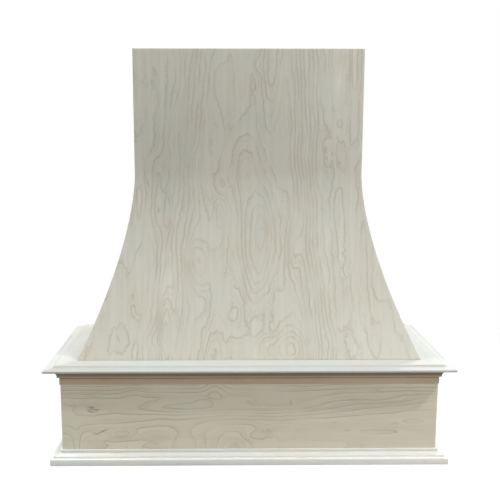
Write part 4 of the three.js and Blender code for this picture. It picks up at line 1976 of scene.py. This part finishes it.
@dataclass
class ApronBox:
    """The apron boards and the base moulding round their foot."""

    thickness: float = 19 * MM
    base_height: float = 35 * MM
    base_depth: float = 28.5 * MM
    band_height: float = 17 * MM
    shoulder: float = 5 * MM
    shoulder_drop: float = 5.5 * MM
    quirk: float = 0.8 * MM
    step_out: float = 20 * MM
    step_height: float = 5.5 * MM
    band_round: float = 1.2 * MM
    round_steps: int = 5
    hollow_steps: int = 14
    base_arris: float = 0.35 * MM
    base_tone: float = 1.5
    # The upright band is painted paler, as painted light, and the hollow darker, as painted shade.
    band_painted_light: float = 1.1
    hollow_painted_shade: float = 0.92
    cell: float = 6 * MM
    starts: tuple[float, ...] = (0.0, -0.9, 1.0)

    def base_profile(self) -> list[Pair]:
        """Outline of the base: a shoulder, a quirk, a hollow, a step and an upright band.

        Returns:
            Points as (out, height).
        """
        foot, hollow = self.base_height - self.shoulder_drop, self.band_height + self.step_height
        back, front, band = self.shoulder - self.quirk, self.base_depth, self.band_height
        points = [(GLUE_LINE, 0.0), (front, 0.0), (front, band - self.band_round)]
        end = (front - self.band_round, band)
        points += curve(points[-1], (front, band), end, self.round_steps)
        points += [(self.step_out, band), (self.step_out, hollow)]
        points += curve(points[-1], (back, hollow), (back, foot), self.hollow_steps)
        points += [(self.shoulder, foot), (self.shoulder, self.base_height)]
        return [*points, (GLUE_LINE, self.base_height)]

    def base_painted_light_and_shade(self) -> list[PaintedLightZone]:
        """The quirk and hollow, painted darker as shade, and the upright band, painted paler than
        the hollow as light.

        Returns:
            The zones.
        """
        foot, hollow = self.base_height - self.shoulder_drop, self.band_height + self.step_height
        band = (self.base_depth - 2 * self.band_round, self.base_depth + ZONE_REACH)
        inner = (self.shoulder - self.quirk - ZONE_REACH, self.step_out + ZONE_REACH)
        return [
            PaintedLightZone(band, (-ZONE_REACH, self.band_height + ZONE_REACH), self.band_painted_light),
            PaintedLightZone(inner, (hollow - ZONE_REACH, foot + ZONE_EDGE), self.hollow_painted_shade),
        ]

    def build(self, bench: Bench) -> None:
        """Makes the boards and mouldings.

        Args:
            bench: The bench.
        """
        rows = np.linspace(0.0, APRON_TOP, round(APRON_TOP / self.cell) + 1)
        levels = [float(z) for z in rows]
        board = [(0.0, z) for z in levels] + [(-self.thickness, z) for z in reversed(levels)]
        for side, shift in zip(Side, self.starts):
            track = APRON.track(side)
            start, end = track.ends(0.0)
            lengths = round((end - start) / self.cell)
            panel = bench.run(f"apron_{side.value}", board, track, lengths)
            grain = BoardGrain(Vector(UP), side.along, (0.0, shift, -track.offset))
            bench.finish(panel, Slot.APRON, grain)
            looks = (Slot.BOARD, self.base_painted_light_and_shade(), self.base_arris, self.base_tone)
            lay(bench, "base_moulding", self.base_profile(), track, *looks)


@dataclass
class ApronFrame:
    """What is inside the apron: cleats, glue blocks and rear posts."""

    thickness: float = 19 * MM
    cleat: float = 19 * MM
    cleat_height: float = 38 * MM
    liner_recess: float = 22 * MM
    block_leg: float = 38 * MM
    block_heart: Pair = (0.04, 0.06)
    post: float = 38 * MM
    post_heart: Pair = (0.05, 0.05)

    @property
    def inside(self) -> float:
        """Half the width between the apron's sides."""
        return APRON.half_width - self.thickness - GLUE_LINE

    @property
    def front(self) -> float:
        """The y just behind the apron's front board."""
        return WALL - APRON.depth + self.thickness + GLUE_LINE

    @property
    def post_front(self) -> float:
        """The y of the front of the rear posts."""
        return FRAME_REAR - self.post

    @property
    def ledge_cleat(self) -> float:
        """Underside of the cleats under the ledge."""
        return APRON_TOP - self.cleat_height

    def build(self, bench: Bench) -> None:
        """Makes the pieces.

        Args:
            bench: The bench.
        """
        near = -self.thickness - GLUE_LINE
        far = near - self.cleat
        for name, low in (("ledge_cleat", self.ledge_cleat), ("liner_cleat", self.liner_recess)):
            top = low + self.cleat_height
            profile = [(far, low), (near, low), (near, top), (far, top)]
            for side in Side:
                track = APRON.track(side, self.post_front - GLUE_LINE)
                lay(bench, name, profile, track, arris=SOFT_ARRIS)
        low = self.liner_recess + self.cleat_height + GLUE_LINE
        high = self.ledge_cleat - GLUE_LINE
        for side, hand in ((Side.LEFT, 1), (Side.RIGHT, -1)):
            x, y, leg = -hand * self.inside, self.front, self.block_leg
            corners = [(x, y), (x + hand * leg, y), (x, y + leg)]
            block = bench.prism(f"glue_block_{side.value}", corners, low, high)
            across, deep = self.block_heart
            grain = upright_grain((across, bench.made * POST_STEP, deep))
            bench.finish(block, Slot.POPLAR, grain, arris=SOFT_ARRIS)
            x0, x1 = sorted((x, x + hand * self.post))
            y0, y1 = self.post_front, FRAME_REAR
            square = [(x0, y0), (x1, y0), (x1, y1), (x0, y1)]
            post = bench.prism(f"rear_post_{side.value}", square, self.liner_recess, APRON_TOP)
            across, deep = self.post_heart
            grain = upright_grain((across, bench.made * POST_STEP, deep))
            bench.finish(post, Slot.POPLAR, grain, arris=SOFT_ARRIS)


@dataclass(frozen=True)
class BackRail:
    """One rail across the back.

    Attributes:
        name: The name of its node.
        screwed: What the nodes of its screws are named after.
        outline: Its outline as (x, z).
        screw_x: How far its screws are from the middle.
        screw_heights: How high they are.
    """

    name: str
    screwed: str
    outline: Outline
    screw_x: float
    screw_heights: tuple[float, ...]


@dataclass
class BackRails:
    """The rails across the back, with the screws that hold them to the ribs and posts."""

    sweep_frame: SweepFrame
    apron_frame: ApronFrame
    bottom_height: float = 64 * MM
    foot_rows: int = 10
    edge: float = 20 * MM
    clearance: float = 0.3 * MM
    bite: float = 12 * MM
    through: float = 2 * MM
    mouth: float = 1 * MM

    @staticmethod
    def plain(half: float, bottom: float, top: float) -> Outline:
        """The outline of a squared rail."""
        return [(-half, bottom), (half, bottom), (half, top), (-half, top)]

    def rails(self) -> list[BackRail]:
        """The rails, from the top down.

        Returns:
            The rails.
        """
        sizes, inner = self.sweep_frame, self.apron_frame
        rib_middle = sizes.inset + sizes.rib_width / 2
        post_middle = inner.inside - inner.post / 2

        hanging = HOOD_HEIGHT - sizes.hanging_rail_height
        upper = self.plain(CHIMNEY.half_width - sizes.inset, hanging, HOOD_HEIGHT)
        upper_screws = (hanging + self.edge, sizes.rib_top - self.edge)

        foot_top, middle = (SWEEP_FOOT + sizes.foot_back_height / part for part in (1, 2))
        line = SWEEP.line(sizes.inset, SWEEP_FOOT, foot_top, self.foot_rows)
        foot = [(CHIMNEY.half_width + out, z) for out, z in line]
        foot += [(-x, z) for x, z in reversed(foot)]
        foot_x = CHIMNEY.half_width + SWEEP.line(rib_middle, middle, HOOD_HEIGHT)[-1][0]

        low = APRON_TOP - sizes.hanging_rail_height
        lower = self.plain(inner.inside, low, APRON_TOP)
        lower_screws = (low + self.edge, APRON_TOP - self.edge)

        recess, height = inner.liner_recess, self.bottom_height
        bottom = self.plain(inner.inside, recess, recess + height)
        upper_x, bottom_screws = CHIMNEY.half_width - rib_middle, (recess + height / 2,)
        names = ("upper_hanging_rail", "lower_hanging_rail", "bottom_back_rail")
        return [
            BackRail(names[0], names[0], upper, upper_x, upper_screws),
            BackRail("sweep_foot_rail_back", "sweep_foot_rail", foot, foot_x, (middle,)),
            BackRail(names[1], names[1], lower, post_middle, lower_screws),
            BackRail(names[2], names[2], bottom, post_middle, bottom_screws),
        ]

    def hole(self, bench: Bench, x: float, height: float) -> Thing:
        """A countersunk hole for one screw, as an object to cut with.

        Args:
            bench: The bench.
            x: How far its middle is to the right of the centre line.
            height: How high its middle is.

        Returns:
            The object.
        """
        grow = self.clearance
        head, shank = ScrewSet.head_radius + grow, ScrewSet.shank_radius + grow
        bottom = WALL - (BACK_RAIL + self.through)
        seat = WALL - ScrewSet.head_depth - grow
        section = ((head, WALL + self.mouth), (head, WALL), (shank, seat))
        turns = [i * math.tau / ScrewSet.sides for i in range(ScrewSet.sides)]
        rings = []
        for radius, y in (*section, (shank, bottom)):
            circle = [(radius * math.cos(turn), radius * math.sin(turn)) for turn in turns]
            rings.append([Vector((x + dx, y, height + dz)) for dx, dz in circle])
        return bench.loft("hole", rings)

    def build(self, bench: Bench, screws: ScrewSet) -> None:
        """Makes the rails and their screws.

        Args:
            bench: The bench.
            screws: The tree that makes screws.
        """
        places, stood_for = [], []
        for rail in self.rails():
            faces = [[Vector((x, y, z)) for x, z in rail.outline] for y in (WALL - BACK_RAIL, WALL)]
            board = bench.loft(rail.name, faces)
            spots = [(hand * rail.screw_x, z) for z in rail.screw_heights for hand in (-1, 1)]
            bench.carve(board, [self.hole(bench, *spot) for spot in spots])
            bench.finish(board, Slot.POPLAR, along_grain(Side.FRONT, bench.made))
            places += [Screw((x, WALL, z), (0.0, 1.0, 0.0)) for x, z in spots]
            rows = ("_lower", "_upper") if len(rail.screw_heights) > 1 else ("",)
            stood_for += [
                f"{rail.screwed}_screw_{end}{row}" for row in rows for end in ("left", "right")
            ]
        length = BACK_RAIL + GLUE_LINE + self.bite
        screws.make(bench, "back_rail_screws", places, length, stood_for)


@dataclass
class InnerScrews:
    """The screws inside: down through the top rails, into the ledge, and through the cleats."""

    sweep_frame: SweepFrame
    apron_frame: ApronFrame
    proud: float = 0.2 * MM
    length: float = 9 * MM
    edge: float = 14 * MM
    foot_share: float = 0.72
    foot_front: tuple[float, ...] = (-0.31, -0.1, 0.1, 0.31)
    foot_side: tuple[float, ...] = (0.0, 0.16)
    cleat_front: tuple[float, ...] = (-0.36, -0.12, 0.12, 0.36)
    cleat_side: tuple[float, ...] = (-0.1, 0.05)

    def top_rails(self) -> list[Screw]:
        """The screws down through the top rails, two over each rib.

        Returns:
            The screws.
        """
        sizes = self.sweep_frame
        half, front = CHIMNEY.half_width, WALL - CHIMNEY.depth
        deep = (sizes.inset + self.edge, sizes.inset + sizes.rib_width - self.edge)
        rows = ((sizes.rear_rib_y + front) / 2, sizes.rear_rib_y)
        ribs = (-sizes.rib_spacing, 0.0, sizes.rib_spacing)
        heads = [(x, front + d) for x in ribs for d in deep]
        heads += [(hand * (half - d), y) for hand in (-1, 1) for y in rows for d in deep]
        return [Screw((x, y, HOOD_HEIGHT - self.proud), UP) for x, y in heads]

    def foot_rails(self) -> list[Screw]:
        """The screws through the foot rails into the ledge.

        Returns:
            The screws.
        """
        sizes = self.sweep_frame
        line = SWEEP.line(
            sizes.inset + sizes.rib_width * self.foot_share, sizes.foot_top, HOOD_HEIGHT
        )
        inner = -line[-1][0]
        heads = [(x, WALL - CHIMNEY.depth + inner) for x in self.foot_front]
        side = CHIMNEY.half_width - inner
        heads += [(hand * side, y) for hand in (-1, 1) for y in self.foot_side]
        return [Screw((x, y, sizes.foot_top + self.proud), UP) for x, y in heads]

    def cleats(self) -> list[Screw]:
        """The screws through the cleats into the apron.

        Returns:
            The screws.
        """
        inner = self.apron_frame
        side = inner.inside - inner.cleat - self.proud
        front = inner.front + inner.cleat + self.proud
        half, shown = inner.cleat_height / 2, []
        for height in (inner.liner_recess + half, APRON_TOP - half):
            shown += [Screw((x, front, height), (0.0, 1.0, 0.0)) for x in self.cleat_front]
            shown += [
                Screw((hand * side, y, height), (-float(hand), 0.0, 0.0))
                for hand in (-1, 1)
                for y in self.cleat_side
            ]
        return shown

    def build(self, bench: Bench, screws: ScrewSet) -> None:
        """Makes the screws.

        Args:
            bench: The bench.
            screws: The tree that makes screws.
        """
        screws.make(bench, "top_rail_screws", self.top_rails(), self.length)
        screws.make(bench, "foot_rail_screws", self.foot_rails(), self.length)
        screws.make(bench, "cleat_screws", self.cleats(), self.length)


# ---------------------------------------------------------------- the studio


@dataclass(frozen=True)
class Lamp:
    """A square soft lamp.

    Attributes:
        name: Its name.
        place: Where it hangs.
        aim: What it points at.
        size: Length of its sides.
        power: Its power in watts.
        tint: The colour of its light.
    """

    name: str
    place: Vector
    aim: Vector
    size: float
    power: float
    tint: tuple[float, float, float] = (1.0, 1.0, 1.0)

    def hang(self) -> None:
        """Puts it in the scene, out of the camera's sight."""
        data = bpy.data.lights.new(self.name, "AREA")
        data.color = self.tint
        data.shape, data.size, data.energy = "SQUARE", self.size, self.power
        lamp = bpy.data.objects.new(self.name, data)
        bpy.context.scene.collection.objects.link(lamp)
        lamp.location = self.place
        lamp.visible_camera = False
        lamp.rotation_mode = "QUATERNION"
        lamp.rotation_quaternion = (self.aim - self.place).to_track_quat("-Z", "Y")


# One lamp high on the right, broad ones in front and above, and weak ones behind and left.
KEY_AIM = Vector((0.1, -0.2, 0.3))
KEY_WAY = Vector((99, -38, 107)).normalized()
KEY_DISTANCE = 4.6
LAMPS = (
    Lamp("key", KEY_AIM + KEY_WAY * KEY_DISTANCE, KEY_AIM, 0.1, 87.0),
    Lamp("soft", Vector((1.3, -2.4, 1.45)), Vector((0, -0.2, 0.35)), 0.8, 17.0, (1.05, 1.0, 0.98)),
    Lamp("sky", Vector((1.1, -0.9, 4.3)), Vector((0.1, -0.1, 0.5)), 2.8, 70.0, (0.985, 1.0, 0.995)),
    Lamp("rim", Vector((1.9, 2.6, 1.9)), Vector((0, 0, 0.3)), 1.0, 46.0),
    Lamp("side", Vector((-2.3, -0.15, 1.9)), Vector((-0.4, -0.15, 0.2)), 1.0, 50.0),
)


@dataclass
class Studio:
    """A pale floor, soft lamps and the camera of the photograph."""

    camera_place: tuple[float, float, float] = (-0.0664, -2.2746, 0.8376)
    yaw: float = math.radians(0.733)
    pitch: float = math.radians(10.403)
    roll: float = math.radians(0.019)
    focal: float = 827.0
    middle: Pair = (234.3, 289.4)
    frame_width: int = 500
    sensor: float = 36.0
    clip: Pair = (0.05, 100.0)
    world_light: float = 0.36
    floor_half: float = 30.0
    floor_level: float = -0.5 * MM
    floor_tones: tuple[Colour, Colour] = ((0.30, 0.30, 0.297, 1), (0.34, 0.34, 0.337, 1))
    floor_glow: float = 0.76
    floor_fade: Pair = (0.8, 1.7)

    def camera(self) -> None:
        """Sets the camera where the photograph was taken from."""
        flat = math.cos(self.pitch)
        heading = (math.sin(self.yaw) * flat, math.cos(self.yaw) * flat, -math.sin(self.pitch))
        ahead = Vector(heading)
        right = Vector((math.cos(self.yaw), -math.sin(self.yaw), 0))
        up = right.cross(ahead)
        level = right * math.cos(self.roll) + up * math.sin(self.roll)
        high = up * math.cos(self.roll) - right * math.sin(self.roll)
        data = bpy.data.cameras.new("camera")
        eye = bpy.data.objects.new("camera", data)
        bpy.context.scene.collection.objects.link(eye)
        turn = Matrix([level, high, -ahead]).transposed()
        eye.matrix_world = Matrix.Translation(self.camera_place) @ turn.to_4x4()
        data.sensor_width = self.sensor
        data.lens = self.focal / self.frame_width * data.sensor_width
        data.shift_x = (self.frame_width / 2 - self.middle[0]) / self.frame_width
        data.shift_y = (self.middle[1] - self.frame_width / 2) / self.frame_width
        data.clip_start, data.clip_end = self.clip
        bpy.context.scene.camera = eye

    def world(self) -> None:
        """A white surround, brighter to the camera than it lights."""
        world = bpy.data.worlds.new("surround")
        bpy.context.scene.world = world
        world.use_nodes = True
        draw = Sketch(world.node_tree)
        seen = draw.seen()
        dim, white = (
            draw.out("ShaderNodeBackground", {"Color": WHITE, "Strength": strength})
            for strength in (self.world_light, 1.0)
        )
        both = draw.out("ShaderNodeMixShader", {0: seen, 1: dim, 2: white})
        draw.join(draw.add("ShaderNodeOutputWorld"), {"Surface": both})

    def floor(self) -> None:
        """A pale floor that is white to the camera except where the hood shades it."""
        mesh = bpy.data.meshes.new("floor")
        half, level = self.floor_half, self.floor_level
        corners = [(-half, -half), (half, -half), (half, half), (-half, half)]
        mesh.from_pydata([(x, y, level) for x, y in corners], [], [range(4)])
        ground = bpy.data.objects.new("floor", mesh)
        bpy.context.scene.collection.objects.link(ground)
        material, draw = start_material("pale_floor")
        place = draw.add("ShaderNodeTexCoord").outputs["Object"]
        grit = draw.spread(draw.noise(place, FLOOR_GRIT), *MIDDLE_ENDS, FULL)
        tone = draw.blend(grit, *self.floor_tones)
        matt = draw.out("ShaderNodeBsdfDiffuse", {"Color": tone})
        seen = draw.seen()
        glow = {"Color": WHITE, "Strength": draw.sum("MULTIPLY", seen, self.floor_glow)}
        lift = draw.out("ShaderNodeEmission", glow)
        near = draw.out("ShaderNodeAddShader", {0: matt, 1: lift})
        white = draw.out("ShaderNodeEmission", {"Color": WHITE, "Strength": 1.0})
        reach = draw.spread(draw.vector("LENGTH", place), *self.floor_fade, FULL)
        share = draw.sum("MULTIPLY", reach, seen)
        both = draw.out("ShaderNodeMixShader", {0: share, 1: near, 2: white})
        draw.join(draw.add("ShaderNodeOutputMaterial"), {"Surface": both})
        mesh.materials.append(material)

    def build(self) -> None:
        """Sets up the whole studio."""
        bpy.context.scene.view_settings.view_transform = "Standard"
        self.camera()
        for lamp in LAMPS:
            lamp.hang()
        self.world()
        self.floor()


def main() -> None:
    """Builds the studio and the hood."""
    logging.basicConfig(level=logging.INFO, format="%(name)s: %(message)s")
    Studio().build()
    finishes = {
        Slot.PANEL: PANEL_WOOD,
        Slot.APRON: APRON_WOOD,
        Slot.COVE: COVE_WOOD,
        Slot.BOARD: BOARD_WOOD,
        Slot.PLYWOOD: PLYWOOD,
        Slot.POPLAR: POPLAR,
        Slot.STEEL: ZincSteel(),
    }
    bench = Bench(finishes, {slot: finish.build() for slot, finish in finishes.items()})
    band, screws = BentBand(), ScrewSet()
    sweep_frame, apron_frame = SweepFrame(), ApronFrame()
    SweepPanels().build(bench, band)
    sweep_frame.build(bench, band)
    Ledge().build(bench)
    ApronBox().build(bench)
    apron_frame.build(bench)
    BackRails(sweep_frame, apron_frame).build(bench, screws)
    InnerScrews(sweep_frame, apron_frame).build(bench, screws)
    log.info("%d pieces", bench.made)
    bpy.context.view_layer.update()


if __name__ == "__main__":
    main()
